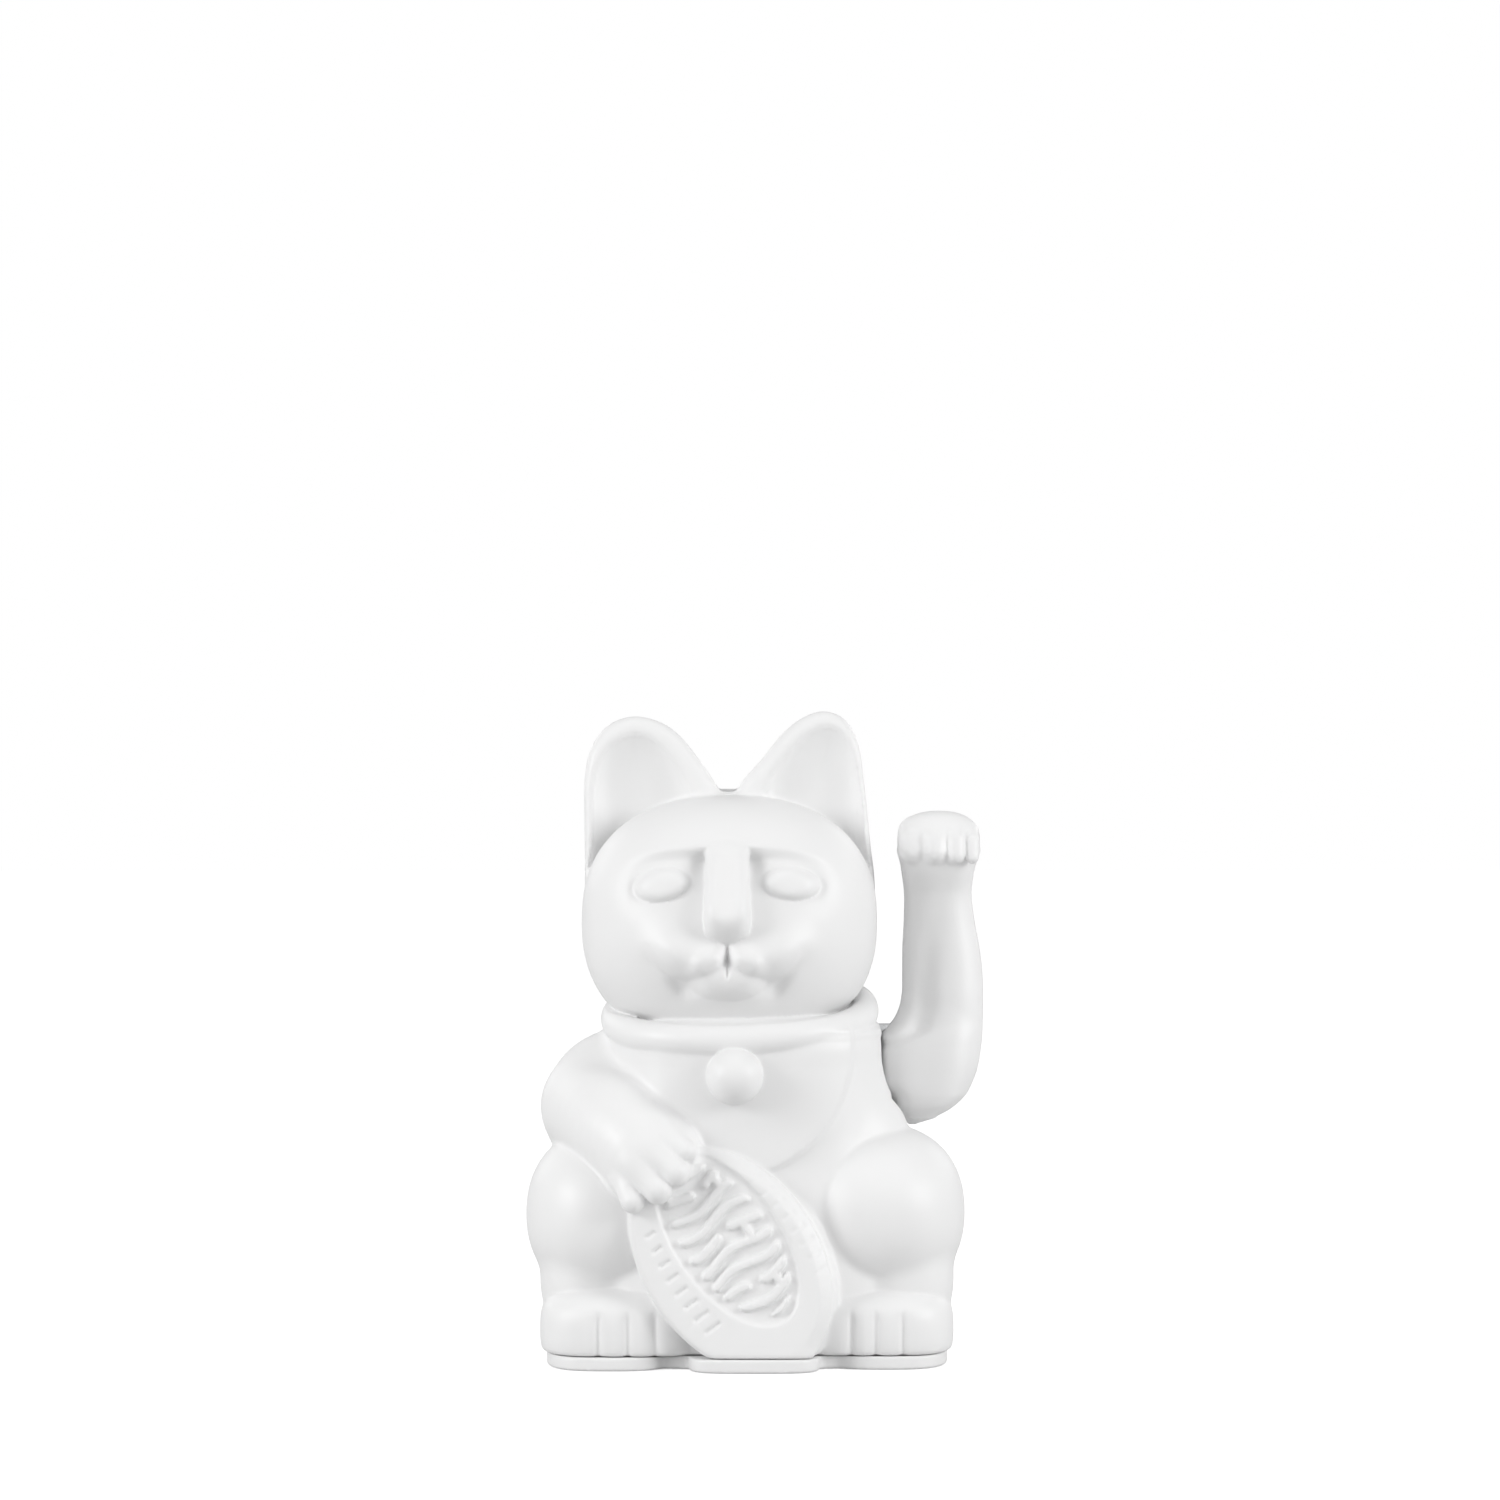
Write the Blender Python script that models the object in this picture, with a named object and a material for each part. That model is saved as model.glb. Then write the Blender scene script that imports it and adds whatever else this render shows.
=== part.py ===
"""Beckoning cat figurine: two hollow casings on a base plate, and a raised arm that swings on a steel axle.

Metres, +Z up. The origin is the centre of the base plate's underside, and the cat looks along -Y.
"""

import math

import bmesh
import bpy
from mathutils import Matrix, Vector

MM = 0.001
GAP = 0.3 * MM
WALL = 2.0 * MM
WELD = 0.002 * MM

# The axle runs along X in the plane where the front and rear casings meet.
SEAM_Y = 8.0 * MM
AXLE_Z = 75.0 * MM
AXLE_RADIUS = 1.5 * MM
AXLE_START_X = -16.0 * MM
AXLE_END_X = 50.0 * MM
AXLE_OPENING_RADIUS = 3.2 * MM

# The flat seat in the casing's side that the arm swings against.
SEAT_X = 32.2 * MM
SEAT_RADIUS = 23.2 * MM

PLATE_TOP = 3.0 * MM
CASING_BOTTOM = PLATE_TOP + GAP
BODY_POWER = 2.6
BODY_SHIFT_X = -0.8 * MM
BODY_CENTRE_Y = 4.5 * MM

HEAD_CENTRE = Vector((-4.8, -3.0, 101.0)) * MM
HEAD_RADII = Vector((34.5, 30.5, 29.4)) * MM
HEAD_POWER = 2.35

COLLAR_CENTRE = Vector((-2.4, -1.5, 78.2)) * MM
COLLAR_RADII = (29.2 * MM, 29.6 * MM)
COLLAR_THICKNESS = 3.5 * MM
COLLAR_TILT = math.radians(7.0)
BELL_CENTRE = Vector((-3.5, -32.0, 66.7)) * MM
BELL_RADIUS = 6.4 * MM
TAIL_RADIUS = 5.0 * MM

COIN_CENTRE = Vector((-3.6, -37.4, 25.5)) * MM
COIN_HALF_LENGTH = 29.3 * MM
COIN_HALF_WIDTH = 20.6 * MM
COIN_LEAN = math.radians(6.0)
COIN_TURN = math.radians(54.0)
COIN_DEPTH = 19.0 * MM

ARM_WALL = 1.6 * MM
PAW_CENTRE = Vector((44.5, 3.5, 119.4)) * MM
PAW_RADII = Vector((9.9, 11.0, 7.3)) * MM

CELL_RADIUS = 7.25 * MM
CELL_HALF_LENGTH = 25.25 * MM
CELL_CENTRE = Vector((0.0, 23.0, 10.2)) * MM
WELL_WALL = 1.2 * MM
WELL_TOP = 14.0 * MM
WELL_LOW = Vector((-30.7, 15.4, 0.0)) * MM
WELL_HIGH = Vector((28.3, 30.6, 14.0)) * MM

DOOR_LOW = Vector((-28.0, 15.9, 0.3)) * MM
DOOR_HIGH = Vector((26.0, 30.1, 1.8)) * MM
DOOR_AXIS_Y = 29.3 * MM
DOOR_AXIS_Z = 1.05 * MM

TOWER_INNER_X = 8.4 * MM
TOWER_THICKNESS = 2.8 * MM
TOWER_HALF_DEPTH = 4.6 * MM
TOWER_TOP = 79.6 * MM
TOWER_SCREW_X = 15.4 * MM

MAGNET_RADIUS = 5.6 * MM
MAGNET_LOW = 20.0 * MM
MAGNET_HIGH = 23.6 * MM
COIL_RADIUS = 5.6 * MM
COIL_TOP = 16.6 * MM

BOARD_LOW = Vector((-17.0, -26.0, 5.3)) * MM
BOARD_HIGH = Vector((17.0, -3.0, 6.9)) * MM
BOARD_SCREW = Vector((12.5, -22.0, 0.0)) * MM
PAD_TOP = 5.0 * MM

BOSS_RADIUS = 3.6 * MM
BOSS_TOP = 22.0 * MM
BOSS_SPOTS = (
    Vector((-35.0, -16.0, 0.0)) * MM,
    Vector((33.4, -16.0, 0.0)) * MM,
    Vector((-39.0, 18.0, 0.0)) * MM,
    Vector((37.4, 18.0, 0.0)) * MM,
)
SCREW_RADIUS = 1.2 * MM
SCREW_HEAD_RADIUS = 2.5 * MM

SIDES = 20
OUTER_SIDES = 20
INNER_SIDES = 14


def clear_scene():
    for old in list(bpy.data.objects):
        bpy.data.objects.remove(old)


def plastic(name, colour, roughness):
    return finish(name, colour, roughness, 0.0)


def finish(name, colour, roughness, metallic):
    """A Principled BSDF material."""
    material = bpy.data.materials.new(name)
    material.use_nodes = True
    shader = material.node_tree.nodes["Principled BSDF"]
    shader.inputs["Base Color"].default_value = (*colour, 1.0)
    shader.inputs["Roughness"].default_value = roughness
    shader.inputs["Metallic"].default_value = metallic
    return material


def mm(x, y, z):
    return Vector((x, y, z)) * MM


def ring_stack(name, rings, loop=False):
    """One closed body bridged through rings of points. With loop, the last ring joins the first."""
    shape = bmesh.new()
    rows = [[shape.verts.new(point) for point in ring] for ring in rings]
    pairs = list(zip(rows, rows[1:]))
    if loop:
        pairs.append((rows[-1], rows[0]))
    for low, high in pairs:
        for i in range(len(low)):
            j = (i + 1) % len(low)
            shape.faces.new((low[i], low[j], high[j], high[i]))
    if not loop:
        shape.faces.new(rows[0])
        shape.faces.new(rows[-1])
    bmesh.ops.recalc_face_normals(shape, faces=shape.faces)
    return from_bmesh(name, shape)


def from_bmesh(name, shape):
    mesh = bpy.data.meshes.new(name)
    bmesh.ops.triangulate(shape, faces=shape.faces)
    shape.to_mesh(mesh)
    shape.free()
    made = bpy.data.objects.new(name, mesh)
    bpy.context.scene.collection.objects.link(made)
    return made


def superellipse(angle, radius_x, radius_y, power=2.0):
    across, along = math.cos(angle), math.sin(angle)
    reach = (abs(across) ** power + abs(along) ** power) ** (-1.0 / power)
    return radius_x * across * reach, radius_y * along * reach


def angles(sides):
    return [2.0 * math.pi * i / sides for i in range(sides)]


def mass(name, centre, radii, power=2.0, sides=SIDES):
    """A rounded lump: an ellipsoid, or a fuller one where power is over 2."""
    shape = bmesh.new()
    bmesh.ops.create_uvsphere(shape, u_segments=sides, v_segments=max(6, sides * 6 // 10), radius=1.0)
    for point in shape.verts:
        place = point.co
        reach = sum(abs(value) ** power for value in place) ** (-1.0 / power)
        point.co = Vector(place[i] * reach * radii[i] for i in range(3))
    bmesh.ops.translate(shape, vec=centre, verts=shape.verts)
    return from_bmesh(name, shape)


def loft(name, sections, power=2.0, sides=SIDES):
    """Level superellipse sections (height, centre x, centre y, radius x, radius y), bridged upwards."""
    rings = []
    for height, centre_x, centre_y, radius_x, radius_y in sections:
        ring = []
        for angle in angles(sides):
            across, along = superellipse(angle, radius_x, radius_y, power)
            ring.append(Vector((centre_x + across, centre_y + along, height)))
        rings.append(ring)
    return ring_stack(name, rings)


def limb(name, stations, sides=12, ends=(0.5, 0.87)):
    """A round tube through stations (point, radius), its ends rounded through rings at the given shares."""
    points = [point for point, _ in stations]
    radii = [radius for _, radius in stations]
    first = (points[0] - points[1]).normalized()
    last = (points[-1] - points[-2]).normalized()
    for share in ends:
        slim = math.sqrt(1.0 - share * share)
        points.insert(0, stations[0][0] + first * stations[0][1] * share)
        radii.insert(0, stations[0][1] * slim)
        points.append(stations[-1][0] + last * stations[-1][1] * share)
        radii.append(stations[-1][1] * slim)
    side = (points[1] - points[0]).orthogonal().normalized()
    rings = []
    for i, (point, radius) in enumerate(zip(points, radii)):
        ahead = (points[min(i + 1, len(points) - 1)] - points[max(i - 1, 0)]).normalized()
        side = (side - ahead * side.dot(ahead)).normalized()
        across = ahead.cross(side)
        turned = [side * math.cos(angle) + across * math.sin(angle) for angle in angles(sides)]
        rings.append([point + radius * way for way in turned])
    return ring_stack(name, rings)


def smooth_path(points, steps=5):
    """Points on a Catmull-Rom curve through the given points."""
    padded = [2 * points[0] - points[1]] + points + [2 * points[-1] - points[-2]]
    path = []
    for before, start, end, after in zip(padded, padded[1:], padded[2:], padded[3:]):
        for step in range(steps):
            t = step / steps
            path.append(
                0.5
                * (
                    2 * start
                    + (end - before) * t
                    + (2 * before - 5 * start + 4 * end - after) * t**2
                    + (3 * start - before - 3 * end + after) * t**3
                )
            )
    return path + [points[-1]]


def rod(name, start, end, radius, sides=SIDES, end_radius=None):
    """A cylinder, or a cone frustum where end_radius is given."""
    ahead = (end - start).normalized()
    side = ahead.orthogonal().normalized()
    across = ahead.cross(side)
    rings = []
    for point, size in ((start, radius), (end, radius if end_radius is None else end_radius)):
        turned = [side * math.cos(angle) + across * math.sin(angle) for angle in angles(sides)]
        rings.append([point + size * way for way in turned])
    return ring_stack(name, rings)


def box(name, low, high, bevel=0.0):
    shape = bmesh.new()
    bmesh.ops.create_cube(shape, size=1.0)
    size = high - low
    for point in shape.verts:
        point.co = Vector(low[i] + (point.co[i] + 0.5) * size[i] for i in range(3))
    if bevel:
        bmesh.ops.bevel(shape, geom=shape.edges, offset=bevel, segments=1, affect="EDGES")
    return from_bmesh(name, shape)


def cleaned(mesh):
    """Welds the points that a Boolean leaves almost on top of each other."""
    shape = bmesh.new()
    shape.from_mesh(mesh)
    bmesh.ops.remove_doubles(shape, verts=shape.verts, dist=WELD)
    bmesh.ops.dissolve_degenerate(shape, edges=shape.edges, dist=WELD)
    bmesh.ops.triangulate(shape, faces=shape.faces)
    shape.to_mesh(mesh)
    shape.free()
    return mesh


def combine(target, tool, operation):
    """The Boolean of target and tool, applied at once. The tool is used up."""
    step = target.modifiers.new("step", "BOOLEAN")
    step.operation = operation
    step.solver = "EXACT"
    step.object = tool
    bpy.context.view_layer.update()
    graph = bpy.context.evaluated_depsgraph_get()
    result = bpy.data.meshes.new_from_object(target.evaluated_get(graph))
    target.modifiers.clear()
    target.data = cleaned(result)
    bpy.data.objects.remove(tool)
    return target


def unite(target, *tools):
    for tool in tools:
        combine(target, tool, "UNION")
    return target


def cut(target, *tools):
    for tool in tools:
        combine(target, tool, "DIFFERENCE")
    return target


def copy_of(source, name):
    twin = source.copy()
    twin.data = source.data.copy()
    twin.name = name
    bpy.context.scene.collection.objects.link(twin)
    return twin


def settle(piece, material, origin=None, sharp=40.0):
    """Gives the piece its material and smooth shading, and moves its origin without moving the piece."""
    piece.data.name = piece.name
    piece.data.materials.clear()
    piece.data.materials.append(material)
    piece.data.shade_smooth()
    piece.data.set_sharp_from_angle(angle=math.radians(sharp))
    if origin is not None:
        piece.data.transform(Matrix.Translation(-origin))
        piece.location = origin
    return piece


def torso(inset, sides):
    """The seated body from the hips to the neck; with an inset it also runs out through the open bottom."""
    bottom = CASING_BOTTOM / MM - (5.0 if inset else 0.0)
    profile = (
        (bottom, 0.0, 0.0, 46.8, 37.5),
        (12.0, 0.0, 0.0, 47.4, 38.0),
        (24.0, 0.0, 0.0, 46.0, 37.5),
        (34.0, 0.0, 0.0, 43.4, 36.0),
        (44.0, 0.0, -0.5, 39.0, 34.6),
        (52.0, 0.0, -1.5, 35.6, 33.5),
        (60.0, 0.0, -2.5, 34.2, 32.8),
        (68.0, -0.4, -3.5, 33.4, 32.0),
        (76.0, -1.2, -5.0, 31.4, 30.5),
        (86.0, -2.2, -6.5, 28.0, 28.0),
    )
    sections = []
    for height, shift_x, shift_y, radius_x, radius_y in profile:
        centre_x = BODY_SHIFT_X + shift_x * MM
        centre_y = BODY_CENTRE_Y + shift_y * MM
        sections.append((height * MM, centre_x, centre_y, radius_x * MM - inset, radius_y * MM - inset))
    return loft("torso", sections, BODY_POWER, sides)


def hollow_masses(inset, sides):
    """The rounded masses that are hollow in the casing. The inset makes each one smaller all round."""
    shrink = Vector((inset, inset, inset))
    coin_arm = (
        (mm(-35.0, -7.0, 57.0), 12.0 * MM - inset),
        (mm(-30.0, -23.0, 53.4), 10.7 * MM - inset),
        (mm(-21.6, -33.5, 46.6), 9.0 * MM - inset),
    )
    thigh = mm(16.8, 26.0, 20.0) - shrink
    shoulder = mm(19.0, 19.0, 18.8) - shrink
    foot_left = mm(15.8, 22.0, 10.8) - shrink
    foot_right = mm(15.2, 21.5, 10.8) - shrink
    return [
        torso(inset, sides + 6),
        mass("head", HEAD_CENTRE, HEAD_RADII - shrink, HEAD_POWER, sides=sides + 4),
        mass("thigh_left", mm(-35.2, -8.0, 33.5), thigh, sides=sides),
        mass("thigh_right", mm(33.1, -8.0, 34.0), thigh, sides=sides),
        mass("foot_left", mm(-33.0, -14.5, 8.0), foot_left, 3.0, sides=sides),
        mass("foot_right", mm(31.8, -12.0, 8.0), foot_right, 3.0, sides=sides),
        mass("shoulder", mm(-29.4, 1.0, 57.0), shoulder, sides=sides),
        limb("coin_arm", coin_arm, sides=sides * 2 // 3),
    ]


def ear(name, side):
    """An upright ear with a cup in its front. Side -1 is the wider one, over the coin arm."""
    if side < 0:
        spans = ((110.0, -37.0, -6.0), (122.0, -38.6, -6.5), (133.1, -38.8, -8.0), (138.7, -38.3, -12.2))
        tip = ((144.3, -35.6, -16.6), (147.2, -32.8, -20.2), (148.8, -29.0, -25.0))
    else:
        spans = ((110.0, -2.0, 27.6), (122.0, -3.0, 27.8), (133.1, -2.3, 26.7), (138.7, 2.8, 26.0))
        tip = ((144.3, 7.0, 25.1), (147.6, 10.8, 23.9), (150.0, 15.4, 20.4))
    sections = []
    cup = []
    for height, low_x, high_x in spans + tip:
        share = (height - 110.0) / 40.0
        centre_x = 0.5 * (low_x + high_x) * MM
        half = 0.5 * (high_x - low_x) * MM
        depth = (7.0 - 4.4 * share**2) * MM
        sections.append((height * MM, centre_x, SEAM_Y - 1.0 * MM, half, depth))
        if height < 147.0:
            cup.append(((height + 1.0) * MM, centre_x, SEAM_Y - 8.0 * MM, half * 0.8, depth * 0.95))
    return cut(loft(name, sections, 2.5), loft("cup", cup, 2.5))


def collar():
    rings = []
    for angle in angles(32):
        across, along = superellipse(angle, *COLLAR_RADII, 2.3)
        outward = Vector((across, along, 0.0)).normalized()
        ring = []
        for turn in angles(8):
            reach = outward * math.cos(turn) + Vector((0.0, 0.0, 1.0)) * math.sin(turn)
            ring.append(Vector((across, along, 0.0)) + reach * COLLAR_THICKNESS)
        rings.append(ring)
    ring_body = ring_stack("collar", rings, loop=True)
    tilt = Matrix.Translation(COLLAR_CENTRE) @ Matrix.Rotation(COLLAR_TILT, 4, "X")
    ring_body.data.transform(tilt)
    return ring_body


def coin():
    """The oval coin, leaning back, with a sunken field inside its rim."""
    rings = []
    for size, depth in ((0.74, 1.2 * MM), (0.78, 0.0), (0.95, 0.0), (1.0, 1.4 * MM), (1.0, COIN_DEPTH)):
        ring = []
        for angle in angles(32):
            along, across = superellipse(angle, COIN_HALF_LENGTH * size, COIN_HALF_WIDTH * size)
            ring.append(Vector((along, depth, across)))
        rings.append(ring)
    plate = ring_stack("coin", rings)
    lean = Matrix.Rotation(-COIN_LEAN, 4, "X") @ Matrix.Rotation(COIN_TURN, 4, "Y")
    plate.data.transform(Matrix.Translation(COIN_CENTRE) @ lean)
    return plate


def tail():
    """The tail, moulded on the rear casing and curled round to the right."""
    bends = [mm(-6.0, 36.0, 14.0), mm(4.0, 39.0, 11.0), mm(18.0, 36.5, 12.0), mm(29.0, 30.5, 16.5)]
    return limb("tail", [(point, TAIL_RADIUS) for point in smooth_path(bends)[::2]], sides=10)


def solid_masses():
    """What stands on the outside of the casing without being hollow."""
    face = [
        mass("eye_left", mm(-21.0, -29.0, 111.5), mm(6.4, 3.4, 4.0), sides=12),
        mass("eye_right", mm(10.0, -29.0, 111.5), mm(6.8, 3.4, 4.0), sides=12),
        mass("muzzle_left", mm(-9.6, -31.5, 92.6), mm(8.4, 5.6, 6.8), sides=12),
        mass("muzzle_right", mm(0.4, -31.5, 92.6), mm(8.4, 5.6, 6.8), sides=12),
        mass("nose", mm(-5.2, -31.5, 103.0), mm(5.2, 6.0, 9.0), sides=12),
    ]
    crown = box("crown", mm(-14.0, 7.0, 120.0), mm(4.0, 13.0, 131.6), bevel=0.8 * MM)
    bell = mass("bell", BELL_CENTRE, Vector((BELL_RADIUS, BELL_RADIUS, BELL_RADIUS)), sides=16)
    return [ear("ear_left", -1), ear("ear_right", 1), crown, collar(), bell, coin(), tail()] + face


def boss(spot):
    """A screw boss and the rib that ties it to the wall beside it."""
    outward = Vector((math.copysign(1.0, spot.x), 0.0, 0.0))
    low = Vector((0.0, 0.0, CASING_BOTTOM))
    high = Vector((0.0, 0.0, BOSS_TOP))
    column = rod("boss", spot + low, spot + high, BOSS_RADIUS, sides=14)
    reach = spot + outward * 16.0 * MM
    rib_low = Vector((min(spot.x, reach.x), spot.y - 0.9 * MM, CASING_BOTTOM))
    rib_high = Vector((max(spot.x, reach.x), spot.y + 0.9 * MM, BOSS_TOP - 2.0 * MM))
    return unite(column, box("rib", rib_low, rib_high))


def arm_seat(inset):
    """A disc about the axle that flattens the casing's side. An inset one keeps the wall behind the seat."""
    start = Vector((SEAT_X - inset, SEAM_Y, AXLE_Z))
    return rod("arm_seat", start, start + mm(40, 0, 0), SEAT_RADIUS + inset, sides=32)


def casings(white):
    """The front and rear casings: the same outer form, hollowed and parted in the plane of the axle."""
    outer, *others = hollow_masses(0.0, OUTER_SIDES)
    unite(outer, *others, *solid_masses())
    under = box("under", mm(-80, -80, -20), Vector((80 * MM, 80 * MM, CASING_BOTTOM)))
    cut(outer, under, arm_seat(0.0))
    hollow, *others = hollow_masses(WALL, INNER_SIDES)
    unite(hollow, *others)
    cut(hollow, arm_seat(WALL), *[boss(spot) for spot in BOSS_SPOTS])
    cut(outer, hollow)
    for spot in BOSS_SPOTS:
        top = spot + Vector((0.0, 0.0, BOSS_TOP - 4.0 * MM))
        cut(outer, rod("pilot", spot, top, SCREW_RADIUS + GAP, sides=12))
    opening_start = Vector((26.0 * MM, SEAM_Y, AXLE_Z))
    opening_end = Vector((40.0 * MM, SEAM_Y, AXLE_Z))
    cut(outer, rod("axle_opening", opening_start, opening_end, AXLE_OPENING_RADIUS))
    rear = copy_of(outer, "rear_casing")
    outer.name = "front_casing"
    far = 200.0 * MM
    half_gap = 0.5 * GAP
    cut(outer, box("behind", Vector((-far, SEAM_Y - half_gap, -far)), Vector((far, far, far))))
    cut(rear, box("ahead", Vector((-far, -far, -far)), Vector((far, SEAM_Y + half_gap, far))))
    settle(outer, white)
    settle(rear, white)


def base_plate(white):
    """The plate under the casings, with the battery well, the board's pads and a lobe under the coin."""
    lobes = (
        ("base_plate", -0.4, BODY_CENTRE_Y / MM, 45.9, 37.1, BODY_POWER, 36),
        ("lobe_left_foot", -31.5, -14.0, 15.0, 21.5, 3.0, 20),
        ("lobe_right_foot", 30.4, -12.0, 15.0, 20.5, 3.0, 20),
        ("lobe_coin", 1.0, -28.0, 15.0, 12.6, 4.0, 20),
    )
    forms = []
    for name, centre_x, centre_y, radius_x, radius_y, power, sides in lobes:
        sections = []
        for height, less in ((0.0, 0.5), (0.8, 0.0), (PLATE_TOP / MM, 0.0)):
            radii = ((radius_x - less) * MM, (radius_y - less) * MM)
            sections.append((height * MM, centre_x * MM, centre_y * MM, *radii))
        forms.append(loft(name, sections, power, sides))
    plate, *others = forms
    unite(plate, *others)
    wall = Vector((WELL_WALL, WELL_WALL, 0.0))
    unite(plate, box("well", WELL_LOW - wall + Vector((0.0, 0.0, 1.5 * MM)), WELL_HIGH + wall))
    for pad_x in (-12.5, 12.5):
        for pad_y in (-22.0, -7.0):
            spot = mm(pad_x, pad_y, 1.5)
            unite(plate, rod("pad", spot, Vector((spot.x, spot.y, PAD_TOP)), 2.6 * MM, sides=12))
    room_low = Vector((WELL_LOW.x, WELL_LOW.y, 2.2 * MM))
    cut(plate, box("room", room_low, WELL_HIGH + mm(0, 0, 5)))
    margin = Vector((0.4, 0.4, 0.0)) * MM
    door_low = DOOR_LOW - margin - Vector((0.0, 0.0, 1.0 * MM))
    cut(plate, box("doorway", door_low, DOOR_HIGH + margin + Vector((0.0, 0.0, 3.0 * MM))))
    for spot in BOSS_SPOTS:
        cut(plate, rod("through", spot - mm(0, 0, 1), spot + mm(0, 0, 5), SCREW_RADIUS + GAP, sides=12))
        cut(plate, rod("sink", spot - mm(0, 0, 1), spot + mm(0, 0, 1.8), SCREW_HEAD_RADIUS + GAP, sides=16))
    for spot_x in (-TOWER_SCREW_X, TOWER_SCREW_X):
        spot = Vector((spot_x, SEAM_Y, 1.0 * MM))
        cut(plate, rod("pilot", spot, spot + mm(0, 0, 5), SCREW_RADIUS + GAP, sides=12))
    pilot_low = BOARD_SCREW + mm(0, 0, 1.4)
    cut(plate, rod("pilot", pilot_low, pilot_low + mm(0, 0, 8), SCREW_RADIUS + GAP, sides=12))
    settle(plate, white)


def screw(name, seat, length, steel, down=True):
    """A pan-head screw with a cross recess; seat is the centre of the underside of its head."""
    into = Vector((0.0, 0.0, -1.0 if down else 1.0))
    head_height = 1.4 * MM
    top = seat - into * head_height
    fastener = rod(name, seat, top, SCREW_HEAD_RADIUS, 14, SCREW_HEAD_RADIUS * 0.84)
    unite(fastener, rod("shank", seat - into * 0.4 * MM, seat + into * length, SCREW_RADIUS, sides=10))
    for half_x, half_y in ((1.5 * MM, 0.3 * MM), (0.3 * MM, 1.5 * MM)):
        reach = Vector((half_x, half_y, 0.7 * MM))
        cut(fastener, box("slot", top - reach, top + reach))
    return settle(fastener, steel)


def screws(steel):
    for number, spot in enumerate(BOSS_SPOTS, start=1):
        screw(f"base_screw_{number}", spot + mm(0, 0, 1.6), 12.0 * MM, steel, down=False)
    for number, spot_x in enumerate((-TOWER_SCREW_X, TOWER_SCREW_X), start=1):
        screw(f"tower_screw_{number}", Vector((spot_x, SEAM_Y, 5.9 * MM)), 4.0 * MM, steel)
    screw("board_screw", BOARD_SCREW + Vector((0.0, 0.0, BOARD_HIGH.z + GAP)), 4.6 * MM, steel)


def battery_door(white):
    door = box("battery_door", DOOR_LOW, DOOR_HIGH, bevel=0.25 * MM)
    middle = 0.5 * (DOOR_LOW.x + DOOR_HIGH.x)
    tab_low = Vector((middle - 4.0 * MM, DOOR_LOW.y + 0.9 * MM, 1.0 * MM))
    tab_high = Vector((middle + 4.0 * MM, DOOR_LOW.y + 1.9 * MM, 4.6 * MM))
    unite(door, box("tab", tab_low, tab_high))
    grip_low = Vector((middle - 3.0 * MM, DOOR_LOW.y + 3.4 * MM, 0.0))
    grip_high = Vector((middle + 3.0 * MM, DOOR_LOW.y + 4.6 * MM, 0.7 * MM))
    for row in range(3):
        step = Vector((0.0, row * 2.0 * MM, 0.0))
        cut(door, box("grip", grip_low + step, grip_high + step))
    settle(door, white, Vector((middle, DOOR_AXIS_Y, DOOR_AXIS_Z)))


def battery_and_contacts(wrap, steel):
    half = Vector((CELL_HALF_LENGTH, 0.0, 0.0))
    nub = Vector((1.4 * MM, 0.0, 0.0))
    cell = rod("battery_cell", CELL_CENTRE - half, CELL_CENTRE + half - nub, CELL_RADIUS, sides=24)
    unite(cell, rod("nub", CELL_CENTRE + half - 2 * nub, CELL_CENTRE + half, 2.6 * MM, sides=12))
    settle(cell, wrap)
    contact_plate("positive_contact", WELL_HIGH.x - 0.9 * MM, steel)
    contact_plate("negative_contact", WELL_LOW.x + 0.3 * MM, steel)
    start_x = WELL_LOW.x + 1.6 * MM
    length = (CELL_CENTRE - half).x - 1.1 * MM - start_x
    path = []
    turns = 3
    per_turn = 12
    for step in range(turns * per_turn + 1):
        share = step / (turns * per_turn)
        angle = 2.0 * math.pi * turns * share
        radius = (4.6 - 1.8 * share) * MM
        offset = Vector((start_x + length * share, radius * math.cos(angle), radius * math.sin(angle)))
        path.append((offset + Vector((0.0, CELL_CENTRE.y, CELL_CENTRE.z)), 0.4 * MM))
    settle(limb("battery_spring", path, sides=6), steel)


def contact_plate(name, low_x, steel):
    low = Vector((low_x, CELL_CENTRE.y - 4.5 * MM, 4.0 * MM))
    high = Vector((low_x + 0.6 * MM, CELL_CENTRE.y + 4.5 * MM, WELL_TOP + 1.2 * MM))
    settle(box(name, low, high), steel)


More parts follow.
